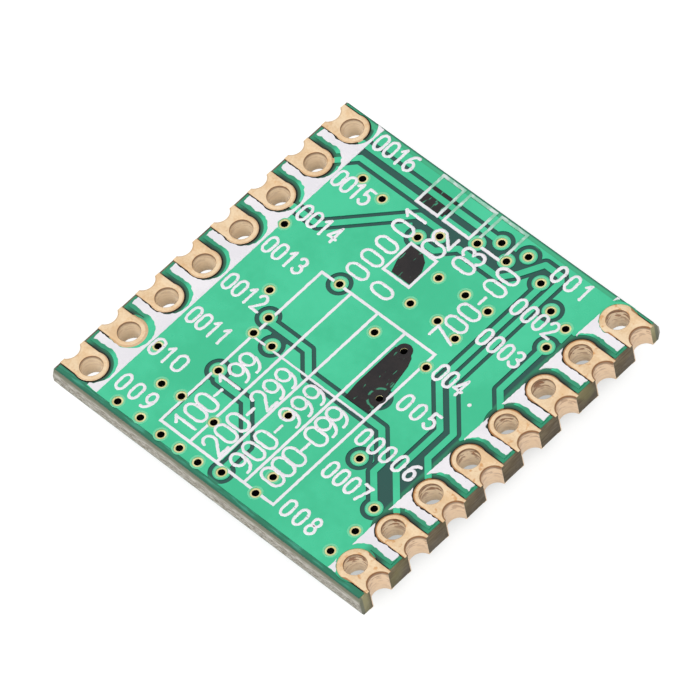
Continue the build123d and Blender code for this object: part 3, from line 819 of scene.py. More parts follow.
FINISHES: tuple[Finish, ...] = (
    SolderMaskFinish(
        Slot.SOLDER_MASK, shade(64, 203, 154), shade(53, 190, 141), roughness=(0.24, 0.34),
        patch_scale=0.35, fleck_scale=3.0, fleck_share=0.2, grain_scale=12.0, wave_scale=0.6,
        wave_share=0.7, grain_depth_mm=0.006,
    ),
    LaminateFinish(
        Slot.LAMINATE, shade(120, 107, 83), shade(95, 82, 62), roughness=(0.6, 0.8), grain_scale=14.0,
        grain_depth_mm=0.02, wave_share=0.2,
    ),
    PadGoldFinish(
        Slot.PAD_GOLD, shade(242, 216, 180), shade(226, 192, 150), metallic=0.7,
        roughness=(0.34, 0.46), patch_scale=1.6, fleck_scale=12.0, grain_scale=16.0, wave_scale=3.0,
        wave_share=0.5, grain_depth_mm=0.012,
    ),
    BarrelFinish(
        Slot.VIA_GOLD, shade(232, 226, 172), shade(206, 196, 136), metallic=0.5,
        roughness=(0.35, 0.5), patch_scale=3.0,
    ),
    Finish(
        Slot.COPPER, shade(214, 150, 104), shade(180, 112, 70), metallic=0.9, roughness=(0.35, 0.5),
    ),
    LegendFinish(
        Slot.LEGEND, shade(242, 238, 242), shade(232, 229, 234), roughness=(0.55, 0.7),
        fleck_scale=16.0, grain_scale=40.0, grain_depth_mm=0.006,
    ),
    MarkerInkFinish(
        Slot.MARKER_INK, shade(22, 19, 21), shade(36, 31, 31), roughness=(0.42, 0.55),
        patch_scale=1.6, grain_scale=20.0, specular=0.3,
    ),
    Finish(
        Slot.MOULD_COMPOUND, shade(46, 46, 48), shade(58, 58, 60), roughness=(0.5, 0.62),
        grain_scale=45.0, wave_share=0.15, grain_depth_mm=0.01,
    ),
    Finish(
        Slot.TINNED_METAL, shade(206, 206, 204), shade(176, 176, 174), metallic=0.95,
        roughness=(0.3, 0.48), patch_scale=3.0,
    ),
    Finish(
        Slot.SOLDER, shade(206, 208, 210), shade(170, 173, 178), metallic=0.95,
        roughness=(0.18, 0.32), patch_scale=4.0, wave_scale=4.0, wave_share=0.7, grain_depth_mm=0.01,
    ),
    Finish(
        Slot.CRYSTAL_CERAMIC, shade(70, 62, 58), shade(54, 48, 45), roughness=(0.5, 0.65),
        grain_scale=35.0,
    ),
    Finish(
        Slot.CRYSTAL_METAL, shade(214, 207, 184), shade(190, 182, 158), metallic=0.95,
        roughness=(0.24, 0.36), patch_scale=1.2,
    ),
    Finish(
        Slot.CAPACITOR_CERAMIC, shade(168, 132, 98), shade(150, 114, 80), roughness=(0.4, 0.55),
        patch_scale=2.0, grain_scale=40.0,
    ),
    Finish(
        Slot.RESISTOR_CERAMIC, shade(236, 236, 232), shade(222, 222, 216), roughness=(0.45, 0.6),
        patch_scale=2.0,
    ),
    Finish(
        Slot.RESISTOR_GLASS, shade(30, 30, 33), shade(42, 42, 46), roughness=(0.2, 0.32),
        patch_scale=3.0,
    ),
    Finish(
        Slot.INDUCTOR_CERAMIC, shade(104, 122, 134), shade(84, 102, 116), roughness=(0.35, 0.5),
        patch_scale=2.0,
    ),
)


class Workshop:
    """Materials by slot, and the calls that tie a finished piece to the frame."""

    def __init__(self) -> None:
        """Builds every finish."""
        effects = SharedEffects()
        self.materials = {finish.slot: finish.build(effects) for finish in FINISHES}

    def dress_frame(self) -> None:
        """Gives each node of the frame the finish of its slot in the record."""
        for row in frame["record"]["subparts"]:
            node = frame["nodes"][row["node"]]
            node.data.materials.clear()
            node.data.materials.append(self.materials[Slot(row["material_slot"])])
        LOG.info("dressed %d nodes of the frame", len(frame["nodes"]))

    def place(
        self, name: str, mesh: bpy.types.Mesh, slot: Slot, stands_for: Sequence[str] = (),
        smooth_deg: float = 40.0,
    ) -> bpy.types.Object:
        """Makes an object of a mesh, gives it the finish of its slot, parents it to the body and hides the
        nodes that it replaces.

        Args:
            name: The piece's name.
            mesh: Its mesh, in metres and in place.
            slot: The record's slot that its finish comes from.
            stands_for: Nodes of the frame that it replaces.
            smooth_deg: Edges sharper than this stay sharp; nought keeps every face flat.

        Returns:
            The piece.
        """
        mesh.name = name
        mesh.materials.clear()
        mesh.materials.append(self.materials[slot])
        mesh.polygons.foreach_set("use_smooth", [smooth_deg > 0] * len(mesh.polygons))
        if smooth_deg > 0:
            mesh.set_sharp_from_angle(angle=math.radians(smooth_deg))
        piece = bpy.data.objects.new(name, mesh)
        bpy.context.scene.collection.objects.link(piece)
        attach(piece, BODY)
        if stands_for:
            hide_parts(*stands_for)
        LOG.info("made %s with %d faces", name, len(mesh.polygons))
        return piece


class Recipe:
    """A geometry node tree with named inputs, run once on a carrier mesh."""

    def __init__(self, name: str) -> None:
        """Starts the tree with a geometry input and a geometry output.

        Args:
            name: The tree's name.
        """
        tree = bpy.data.node_groups.new(name, "GeometryNodeTree")
        tree.interface.new_socket("Geometry", in_out="INPUT", socket_type="NodeSocketGeometry")
        tree.interface.new_socket("Geometry", in_out="OUTPUT", socket_type="NodeSocketGeometry")
        self.wires = Wiring(tree)
        self.entry = self.wires.add("NodeGroupInput")
        self.leave = self.wires.add("NodeGroupOutput")
        self.keys: dict[str, str] = {}

    @property
    def carrier(self) -> bpy.types.NodeSocket:
        """The carrier's geometry."""
        return self.entry.outputs[0]

    def size(self, name: str, kind: str = "NodeSocketFloat") -> bpy.types.NodeSocket:
        """Adds a named input.

        Args:
            name: The input's name.
            kind: Blender's name for the socket's type.

        Returns:
            The socket that gives its value inside the tree.
        """
        socket = self.wires.tree.interface.new_socket(name, in_out="INPUT", socket_type=kind)
        self.keys[name] = socket.identifier
        return self.entry.outputs[name]

    def sizes(self, *names: str) -> list[bpy.types.NodeSocket]:
        """Adds several named number inputs."""
        return [self.size(name) for name in names]

    def close(self, *shapes: bpy.types.NodeSocket) -> None:
        """Joins the shapes, realizes their instances and gives them the material input.

        Args:
            *shapes: The geometry sockets of the shapes.
        """
        join = self.wires.add("GeometryNodeJoinGeometry")
        for shape in shapes:
            self.wires.tree.links.new(shape, join.inputs[0])
        real = self.wires.feed(self.wires.add("GeometryNodeRealizeInstances"), Geometry=join.outputs[0])
        dress = self.wires.add("GeometryNodeSetMaterial")
        material = self.size("Material", "NodeSocketMaterial")
        self.wires.feed(dress, Geometry=real.outputs[0], Material=material)
        self.wires.tree.links.new(dress.outputs[0], self.leave.inputs[0])

    def run(self, carrier: bpy.types.Mesh, **values: object) -> bpy.types.Mesh:
        """Evaluates the tree on a carrier.

        Args:
            carrier: The mesh that the tree starts from, in millimetres.
            **values: Values by input name, with an underscore for each space.

        Returns:
            The result as a plain mesh in metres.
        """
        holder = bpy.data.objects.new(carrier.name, carrier)
        bpy.context.scene.collection.objects.link(holder)
        modifier = holder.modifiers.new("recipe", "NODES")
        modifier.node_group = self.wires.tree
        for name, value in values.items():
            modifier[self.keys[name.replace("_", " ")]] = value
        bpy.context.view_layer.update()
        evaluated = holder.evaluated_get(bpy.context.evaluated_depsgraph_get())
        mesh = bpy.data.meshes.new_from_object(evaluated)
        holder.modifiers.remove(modifier)
        bpy.data.objects.remove(holder)
        bpy.data.meshes.remove(carrier)
        mesh.transform(Matrix.Scale(MM, 4))
        return mesh


def solid_boxes(node: str) -> list[tuple[Vector, Vector]]:
    """Finds each separate solid of a frame node.

    Args:
        node: The node's name.

    Returns:
        Lowest and highest corner of each solid, in millimetres.
    """
    bm = bmesh.new()
    bm.from_mesh(frame["nodes"][node].data)
    bmesh.ops.remove_doubles(bm, verts=bm.verts, dist=1e-7)
    unseen = set(bm.verts)
    boxes = []
    while unseen:
        edge_of_search = [unseen.pop()]
        found = list(edge_of_search)
        while edge_of_search:
            for link in edge_of_search.pop().link_edges:
                for vert in link.verts:
                    if vert in unseen:
                        unseen.discard(vert)
                        edge_of_search.append(vert)
                        found.append(vert)
        low = Vector([min(vert.co[axis] for vert in found) for axis in range(3)])
        high = Vector([max(vert.co[axis] for vert in found) for axis in range(3)])
        boxes.append((low / MM, high / MM))
    bm.free()
    return sorted(boxes, key=lambda box: tuple(box[0]))


def box_mm(node: str) -> tuple[Vector, Vector]:
    """Lowest and highest corner of a frame node, in millimetres."""
    low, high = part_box(node)
    return low / MM, high / MM


def merged_copy(node: str) -> bmesh.types.BMesh:
    """Copies a frame node's mesh with its doubles merged.

    Args:
        node: The node's name.

    Returns:
        The copy, in millimetres.
    """
    bm = bmesh.new()
    bm.from_mesh(frame["nodes"][node].data)
    bmesh.ops.scale(bm, vec=(1 / MM, 1 / MM, 1 / MM), verts=bm.verts)
    bmesh.ops.remove_doubles(bm, verts=bm.verts, dist=MERGE_MM)
    bm.normal_update()
    return bm


def in_metres(bm: bmesh.types.BMesh, name: str) -> bpy.types.Mesh:
    """Turns a mesh in millimetres into a finished one.

    Args:
        bm: The mesh, which is freed.
        name: Name of the finished mesh.

    Returns:
        The finished mesh, in metres.
    """
    mesh = bpy.data.meshes.new(name)
    bm.to_mesh(mesh)
    bm.free()
    mesh.transform(Matrix.Scale(MM, 4))
    return mesh


def rough(place: Sequence[float], cells: Sequence[float], shift: Sequence[float] = (0, 0, 0)) -> float:
    """Noise from -1 to 1 at a place, for so many cells per millimetre along each axis and a shift."""
    return noise.noise(Vector([part * count + off for part, count, off in zip(place, cells, shift)]))


def toward(azimuth_deg: float, elevation_deg: float) -> Vector:
    """The direction from the object to something round it and above it."""
    turn, rise = math.radians(azimuth_deg), math.radians(elevation_deg)
    return Vector((math.sin(turn) * math.cos(rise), -math.cos(turn) * math.cos(rise), math.sin(rise)))


def point_carrier(name: str, places: Iterable[Sequence[float]]) -> bpy.types.Mesh:
    """A mesh of loose points that a recipe puts instances on.

    Args:
        name: Name of the mesh.
        places: Where its points lie.

    Returns:
        The mesh.
    """
    mesh = bpy.data.meshes.new(name)
    mesh.from_pydata([tuple(place) for place in places], [], [])
    return mesh


def arc(centre: Point, radius: Point, start_deg: float, end_deg: float, steps: int) -> list[Point]:
    """Points along an ellipse.

    Args:
        centre: Middle of the ellipse.
        radius: Half widths along X and Y.
        start_deg: Angle of the first point.
        end_deg: Angle of the last point.
        steps: Number of runs between the points.

    Returns:
        The points, first and last included.
    """
    turns = [math.radians(start_deg + (end_deg - start_deg) * i / steps) for i in range(steps + 1)]
    return [(centre[0] + radius[0] * math.cos(t), centre[1] + radius[1] * math.sin(t)) for t in turns]


@dataclass
class EdgePads:
    """Plated edge pads: a land on both faces, a lined hole and a lined half-round notch."""

    shop: Workshop
    grid: PadGrid = PAD_GRID
    pins_per_row: int = 8
    hole_radius: float = 0.45
    ring_radius: float = 0.67
    ground_ring_radius: float = 0.77
    ground_pins: tuple[int, ...] = (1, 8, 10)
    half_width: float = 0.63
    notch_radius: float = 0.47
    plating: float = 0.03
    copper: float = 0.04
    rim: float = 0.014
    ridge: float = 0.012
    swirl_cells: tuple[float, float, float] = (2.2, 2.2, 11.0)
    swirl_share: float = 0.7
    fine_cells: tuple[float, float, float] = (5.0, 5.0, 26.0)
    fine_shift: float = 7
    ripple_gain: float = 1.6
    fading_rows: int = 3
    round_steps: int = 72
    wall_rows: int = 26

    def __post_init__(self) -> None:
        """Reads the board's edges and levels from the frame."""
        low, high = box_mm("board_laminate")
        self.edges = {-1: low.x, 1: high.x}
        pad_low, pad_high = box_mm("edge_pad_01")
        self.bottom, self.top = pad_low.z, pad_high.z

    def side(self, pin: int) -> int:
        """Plus one for the right row, minus one for the left row."""
        return 1 if pin <= self.pins_per_row else -1

    def centre(self, pin: int) -> Point:
        """Middle of a pin's hole.

        Args:
            pin: The pin's number.

        Returns:
            Its place in millimetres.
        """
        half_row = (self.pins_per_row - 1) / 2 * self.grid.pitch
        step = (pin - 1) % self.pins_per_row * self.grid.pitch
        along = half_row - step if self.side(pin) > 0 else step - half_row
        shift_x, shift_y = self.grid.shift
        return self.side(pin) * self.grid.half_spacing + shift_x, along + shift_y

    def notch(self, pin: int) -> tuple[Point, float]:
        """Middle of a pin's notch, and half the angle that its wall spans.

        Args:
            pin: The pin's number.

        Returns:
            The middle in millimetres and the angle in degrees.
        """
        x, y = self.centre(pin)
        middle = (x + self.side(pin) * self.grid.hole_to_notch, y)
        inward = abs(middle[0] - self.edges[self.side(pin)])
        return middle, math.degrees(math.acos(inward / self.notch_radius))

    def outline(self, pin: int) -> list[Point]:
        """A land's outline: ring, straight flanks to the board's edge, and the notch.

        Args:
            pin: The pin's number.

        Returns:
            Points round the land, anticlockwise for the right row.
        """
        side = self.side(pin)
        x, y = self.centre(pin)
        ring = self.ground_ring_radius if pin in self.ground_pins else self.ring_radius
        open_deg = math.degrees(math.asin(self.half_width / ring))
        (notch_x, _), span_deg = self.notch(pin)
        edge = self.edges[side] - x
        around = arc((0, 0), (ring, ring), open_deg, 360 - open_deg, self.round_steps)
        bay_radius = (self.notch_radius, self.notch_radius)
        bay = arc((abs(notch_x - x), 0), bay_radius, 180 + span_deg, 180 - span_deg, self.round_steps // 2)
        flank = [(abs(edge), -self.half_width), *bay, (abs(edge), self.half_width)]
        return [(x + side * px, y + py) for px, py in around + flank]

    def land(self, pin: int, low: float) -> bpy.types.Mesh:
        """One land with rounded rims.

        Args:
            pin: The pin's number.
            low: Level of the land's lower face.

        Returns:
            The land's mesh, in millimetres.
        """
        curve = bpy.data.curves.new("land", "CURVE")
        curve.dimensions = "2D"
        curve.fill_mode = "BOTH"
        curve.extrude = self.copper / 2 - self.rim
        curve.bevel_depth = self.rim
        curve.bevel_resolution = 2
        curve.offset = -self.rim
        hole = arc(self.centre(pin), (self.hole_radius, self.hole_radius), 0, 360, self.round_steps)[:-1]
        for points in (self.outline(pin), hole):
            spline = curve.splines.new("POLY")
            spline.points.add(len(points) - 1)
            for knot, (px, py) in zip(spline.points, points):
                knot.co = (px, py, 0, 1)
            spline.use_cyclic_u = True
        holder = bpy.data.objects.new("land", curve)
        mesh = bpy.data.meshes.new_from_object(holder)
        bpy.data.objects.remove(holder)
        bpy.data.curves.remove(curve)
        mesh.transform(Matrix.Translation((0, 0, low + self.copper / 2)))
        return mesh

    def ripple(self, place: Vector) -> float:
        """How far a drill mark stands in from a lined wall at a place.

        Args:
            place: A place on the wall, in millimetres.

        Returns:
            The depth in millimetres.
        """
        swirl = rough(place, self.swirl_cells)
        fine = rough(place, self.fine_cells, (self.fine_shift, 0, 0))
        both = self.swirl_share * swirl + (1 - self.swirl_share) * fine
        return self.ridge * (0.5 + 0.5 * both * self.ripple_gain)

    def wall(self, bm: bmesh.types.BMesh, middle: Point, radius: float, start: float, span: float) -> None:
        """Adds a lined wall with drill marks to a pad.

        Args:
            bm: The pad's mesh, in millimetres.
            middle: The wall's axis.
            radius: Radius of its open side.
            start: Angle of its first line of points, in degrees.
            span: Angle that it covers, in degrees; 360 closes it.
        """
        closed = span >= 360
        columns = self.round_steps if closed else self.round_steps // 2
        outer = radius + self.plating
        low, high = self.bottom + self.copper / 2, self.top - self.copper / 2
        count = columns if closed else columns + 1
        loops = []
        for column in range(count):
            turn = math.radians(start + span * column / columns)
            way = Vector((math.cos(turn), math.sin(turn), 0))
            line = []
            for row in range(self.wall_rows + 1):
                level = low + (high - low) * row / self.wall_rows
                spot = Vector((*middle, level)) + way * radius
                fade = min(row, self.wall_rows - row, self.fading_rows) / self.fading_rows
                line.append(bm.verts.new(spot - way * self.ripple(spot) * fade))
            line.append(bm.verts.new(Vector((*middle, high)) + way * outer))
            line.append(bm.verts.new(Vector((*middle, low)) + way * outer))
            loops.append(line)
        made = []
        for column in range(columns):
            here, there = loops[column], loops[(column + 1) % count]
            for row in range(len(here)):
                nxt = (row + 1) % len(here)
                made.append(bm.faces.new((here[row], there[row], there[nxt], here[nxt])))
        if not closed:
            made.append(bm.faces.new(loops[0]))
            made.append(bm.faces.new(loops[-1][::-1]))
        bmesh.ops.recalc_face_normals(bm, faces=made)

    def build(self) -> None:
        """Makes all the pads."""
        for pin in range(1, 2 * self.pins_per_row + 1):
            bm = bmesh.new()
            for low in (self.bottom, self.top - self.copper):
                bm.from_mesh(self.land(pin, low))
            bmesh.ops.remove_doubles(bm, verts=bm.verts, dist=1e-5)
            self.wall(bm, self.centre(pin), self.hole_radius, 0, 360)
            middle, half_span = self.notch(pin)
            facing = 180 if self.side(pin) > 0 else 0
            self.wall(bm, middle, self.notch_radius, facing - half_span, 2 * half_span)
            mesh = in_metres(bm, "pad")
            self.shop.place(f"plated_pad_{pin:02d}", mesh, Slot.PAD_GOLD, [f"edge_pad_{pin:02d}"])


@dataclass
class Vias:
    """Plated barrels with a ring on each face, and the resin collars round their openings."""

    shop: Workshop
    bore_radius: float = 0.145
    ring_radius: float = 0.27
    plating: float = 0.03
    copper: float = 0.04
    rim: float = 0.012
    collar_radius: float = 0.265
    collar_width: float = 0.085
    collar_height: float = 0.026
    collar_level: float = 2.042
    inked: tuple[Point, ...] = ((2.44, -1.09), (1.83, 0.96))
    ink_height: float = 0.018
    ink_level: float = 2.0555
    steps: int = 36
    corner_steps: int = 3

    def band(
        self, recipe: Recipe, radius: object, width: object, height: object, level: object, corner: object
    ) -> bpy.types.NodeSocket:
        """A ring of rectangular section with rounded corners.

        Args:
            recipe: The tree that it goes into.
            radius: Radius of the section's middle.
            width: The section's width.
            height: Its height.
            level: Level of its middle.
            corner: Radius of its corners.

        Returns:
            The ring's geometry socket.
        """
        wires = recipe.wires
        circle = wires.feed(wires.add("GeometryNodeCurvePrimitiveCircle"), Radius=radius)
        circle.inputs["Resolution"].default_value = self.steps
        section = wires.feed(wires.add("GeometryNodeCurvePrimitiveQuadrilateral"), Width=width, Height=height)
        rounded = wires.add("GeometryNodeFilletCurve", mode="POLY")
        wires.feed(
            rounded, Curve=section.outputs[0], Count=self.corner_steps, Radius=corner, Limit_Radius=True,
        )
        sweep = wires.add("GeometryNodeCurveToMesh")
        wires.feed(sweep, Curve=circle.outputs[0], Profile_Curve=rounded.outputs[0])
        moved = wires.add("GeometryNodeTransform")
        wires.feed(moved, Geometry=sweep.outputs[0], Translation=wires.vector(0.0, 0.0, level))
        return moved.outputs[0]

    def on_points(self, recipe: Recipe, shape: bpy.types.NodeSocket) -> bpy.types.NodeSocket:
        """Puts a shape on every point of the carrier."""
        node = recipe.wires.add("GeometryNodeInstanceOnPoints")
        return recipe.wires.feed(node, Points=recipe.carrier, Instance=shape).outputs[0]

    def barrel_recipe(self) -> Recipe:
        """The tree that makes a barrel with its two rings at each point.

        Returns:
            The tree's recipe.
        """
        recipe = Recipe("plated barrels")
        wires = recipe.wires
        bore, ring, plating, copper, low, high, rim = recipe.sizes(
            "Bore Radius", "Ring Radius", "Plating", "Copper", "Low", "High", "Rim",
        )
        half = wires.math("DIVIDE", copper, 2.0)
        tube_radius = wires.math("ADD", bore, wires.math("DIVIDE", plating, 2.0))
        tube_height = wires.math("SUBTRACT", wires.math("SUBTRACT", high, low), copper)
        middle = wires.math("DIVIDE", wires.math("ADD", high, low), 2.0)
        tube = self.band(recipe, tube_radius, plating, tube_height, middle, rim)
        ring_middle = wires.math("DIVIDE", wires.math("ADD", bore, ring), 2.0)
        ring_width = wires.math("SUBTRACT", ring, bore)
        top = self.band(recipe, ring_middle, ring_width, copper, wires.math("SUBTRACT", high, half), rim)
        under = self.band(recipe, ring_middle, ring_width, copper, wires.math("ADD", low, half), rim)
        recipe.close(*(self.on_points(recipe, shape) for shape in (tube, top, under)))
        return recipe

    def collar_recipe(self) -> Recipe:
        """The tree that makes a low resin collar at each point.

        Returns:
            The tree's recipe.
        """
        recipe = Recipe("resin collars")
        width, radius, height, level = recipe.sizes("Width", "Radius", "Height", "Level")
        collar = self.band(recipe, radius, width, height, level, recipe.wires.math("DIVIDE", height, 2.0))
        recipe.close(self.on_points(recipe, collar))
        return recipe

    def build(self) -> None:
        """Makes the barrels of both nodes, one piece of collars and the ink over two of them."""
        barrels = self.barrel_recipe()
        places: list[Vector] = []
        for node in ("ground_vias", "signal_vias"):
            boxes = solid_boxes(node)
            middles = [Vector(((low.x + high.x) / 2, (low.y + high.y) / 2, 0)) for low, high in boxes]
            places += middles
            mesh = barrels.run(
                point_carrier(node, middles), Bore_Radius=self.bore_radius, Ring_Radius=self.ring_radius,
                Plating=self.plating, Copper=self.copper, Low=boxes[0][0].z, High=boxes[0][1].z,
                Rim=self.rim, Material=self.shop.materials[Slot.VIA_GOLD],
            )
            self.shop.place(node.replace("vias", "barrels"), mesh, Slot.VIA_GOLD, [node])
        collars = self.collar_recipe()
        mesh = collars.run(
            point_carrier("collars", places), Width=self.collar_width, Radius=self.collar_radius,
            Height=self.collar_height, Level=self.collar_level,
            Material=self.shop.materials[Slot.SOLDER_MASK],
        )
        self.shop.place("via_collars", mesh, Slot.SOLDER_MASK)
        covered = [min(places, key=lambda place: (place.xy - Vector(spot)).length) for spot in self.inked]
        reach = self.collar_radius + self.collar_width
        mesh = collars.run(
            point_carrier("inked", covered), Width=reach - self.bore_radius,
            Radius=(reach + self.bore_radius) / 2, Height=self.ink_height, Level=self.ink_level,
            Material=self.shop.materials[Slot.MARKER_INK],
        )
        self.shop.place("ink_over_vias", mesh, Slot.MARKER_INK)


@dataclass
class ScoredPanel:
    """The laminate with torn webs between its score lines, and loose glass fibres on them."""

    shop: Workshop
    columns: int = 420
    rows_per_side: int = 6
    rows_in_web: int = 10
    tear_depth: float = 0.075
    score_depth: float = 0.006
    fibres_per_side: int = 420
    fibre_radius: float = 0.004
    fibre_sides: int = 5
    shortest: float = 0.04
    longest: float = 0.16
    droop: float = 0.22
    fibre_margin: float = 0.06
    fibre_depth: float = 0.012
    fibre_depth_spread: float = 0.03
    fibre_reach: float = 0.985
    golden_angle: float = 2.399
    torn_least: float = 0.25
    torn_rise: int = 4
    deepest: float = 1.5
    sharp_deg: float = 50.0
    seed: int = 11

    def __post_init__(self) -> None:
        """Reads the panel's profile from the frame."""
        low, high = box_mm("board_laminate")
        self.half_width, self.half_length = high.x, high.y
        self.low, self.high = low.z, high.z
        corners = [vert.co / MM for vert in frame["nodes"]["board_laminate"].data.vertices]
        levels = [round(spot.z, 4) for spot in corners if spot.y > high.y - NEAR_MM]
        self.web_low, self.web_high = min(levels), max(levels)
        self.neck = max(round(spot.y, 4) for spot in corners if spot.z > high.z - NEAR_MM)

    def section(self) -> list[tuple[float, float, float]]:
        """Half length, level and share of tearing at each row, from the top face down.

        Returns:
            A half length, a level and a share for each row.
        """
        corners = (
            (self.neck, self.high), (self.half_length, self.web_high),
            (self.half_length, self.web_low), (self.neck, self.low),
        )
        upper = [row / self.rows_per_side for row in range(self.rows_per_side)]
        web = [row / self.rows_in_web for row in range(self.rows_in_web + 1)]
        under = [row / self.rows_per_side for row in range(1, self.rows_per_side + 1)]
        rows = []
        for start, end, shares in zip(corners, corners[1:], (upper, web, under)):
            for share in shares:
                tear = self.torn_rise * min(share, 1 - share) + self.torn_least
                length, level = (first + (last - first) * share for first, last in zip(start, end))
                rows.append((length, level, min(1.0, tear) if shares is web else 0.0))
        return rows

    def bite(self, x: float, z: float, end: int, tear: float) -> float:
        """How far the surface stands in from the profile.

        Args:
            x: Place along the edge.
            z: Level.
            end: Plus one for the far edge, minus one for the near one.
            tear: Share of tearing on this row.

        Returns:
            The depth in millimetres.
        """
        ragged = rough((x, end, z), (3.1, 9.0, 9.0))
        shred = rough((x, end, z), (11.0, 5.0, 24.0), (0, 3, 0))
        torn = max(0.0, 0.5 + 0.75 * ragged + 0.5 * shred) * self.tear_depth * tear
        cut = (0.5 + 0.5 * rough((x, end, z), (1.2, 4.0, 40.0))) * self.score_depth
        return min(torn + cut, self.tear_depth * self.deepest)

    def panel_mesh(self) -> bpy.types.Mesh:
        """The panel with its plain score faces replaced by torn ones, in metres.

        Returns:
            The panel's mesh.
        """
        bm = merged_copy("board_laminate")
        plain = [
            face for face in bm.faces
            if abs(face.normal.x) < ALONG_LIMIT
            and all(abs(vert.co.y) > self.neck - NEAR_MM for vert in face.verts)
        ]
        bmesh.ops.delete(bm, geom=plain, context="FACES")
        rows = self.section()
        for end in (-1, 1):
            grid = []
            for column in range(self.columns + 1):
                x = self.half_width * (2 * column / self.columns - 1)
                at_side = column in (0, self.columns)
                line = []
                for number, (length, level, tear) in enumerate(rows):
                    held = at_side or number in (0, len(rows) - 1)
                    depth = 0.0 if held else self.bite(x, level, end, tear)
                    line.append(bm.verts.new((x, end * (length - depth), level)))
                grid.append(line)
            for here, there in zip(grid, grid[1:]):
                for row in range(len(rows) - 1):
                    corners = (here[row], here[row + 1], there[row + 1], there[row])
                    bm.faces.new(corners if end < 0 else corners[::-1])
        return in_metres(bm, "panel")

    def fibre_recipe(self) -> Recipe:
        """The tree that lays a fine glass fibre at each point, turned at random but mostly level.

        Returns:
            The tree's recipe.
        """
        recipe = Recipe("torn fibres")
        wires = recipe.wires
        radius, shortest, longest, droop = recipe.sizes("Fibre Radius", "Shortest", "Longest", "Droop")
        seed = recipe.size("Seed", "NodeSocketInt")
        fibre = wires.add("GeometryNodeMeshCylinder")
        wires.feed(fibre, Vertices=self.fibre_sides, Radius=radius, Depth=1.0)
        lying = wires.add("GeometryNodeTransform")
        wires.feed(lying, Geometry=fibre.outputs["Mesh"], Rotation=(0, math.radians(90), 0))
        length = wires.add("FunctionNodeRandomValue", data_type="FLOAT")
        wires.feed_keys(length, Min_001=shortest, Max_001=longest, Seed=seed)
        turn = wires.add("FunctionNodeRandomValue", data_type="FLOAT_VECTOR")
        spread = wires.vector(droop, droop, droop)
        wires.feed_keys(
            turn, Min=wires.scaled(spread, (-1, -1, -1)), Max=spread, Seed=wires.math("ADD", seed, 1.0),
        )
        stretch = wires.vector(length.outputs[1], 1.0, 1.0)
        laid = wires.add("GeometryNodeInstanceOnPoints")
        euler = wires.feed(wires.add("FunctionNodeEulerToRotation"), Euler=turn.outputs[0])
        wires.feed(laid, Points=recipe.carrier, Instance=lying.outputs[0], Scale=stretch)
        wires.put(laid.inputs["Rotation"], euler.outputs[0])
        recipe.close(laid.outputs[0])
        return recipe

    def fibre_places(self) -> list[Vector]:
        """Points on both torn webs, set in from the profile so that no fibre leaves it.

        Returns:
            The points, in millimetres.
        """
        places = []
        for end in (-1, 1):
            for number in range(self.fibres_per_side):
                spot = Vector((number * 0.37, end * 3.0, self.seed))
                along = self.half_width * (2 * (number + 0.5) / self.fibres_per_side - 1)
                share = 0.5 + 0.5 * math.sin(number * self.golden_angle)
                height = self.fibre_margin + (1 - 2 * self.fibre_margin) * share
                level = self.web_low + (self.web_high - self.web_low) * height
                depth = self.fibre_depth + self.fibre_depth_spread * abs(noise.noise(spot))
                places.append(Vector((along * self.fibre_reach, end * (self.half_length - depth), level)))
        return places

    def build(self) -> None:
        """Makes the panel and its fibres."""
        panel = self.panel_mesh()
        self.shop.place("scored_panel", panel, Slot.LAMINATE, ["board_laminate"], self.sharp_deg)
        mesh = self.fibre_recipe().run(
            point_carrier("fibres", self.fibre_places()), Fibre_Radius=self.fibre_radius,
            Shortest=self.shortest, Longest=self.longest, Droop=self.droop, Seed=self.seed,
            Material=self.shop.materials[Slot.LAMINATE],
        )
        self.shop.place("torn_fibres", mesh, Slot.LAMINATE)


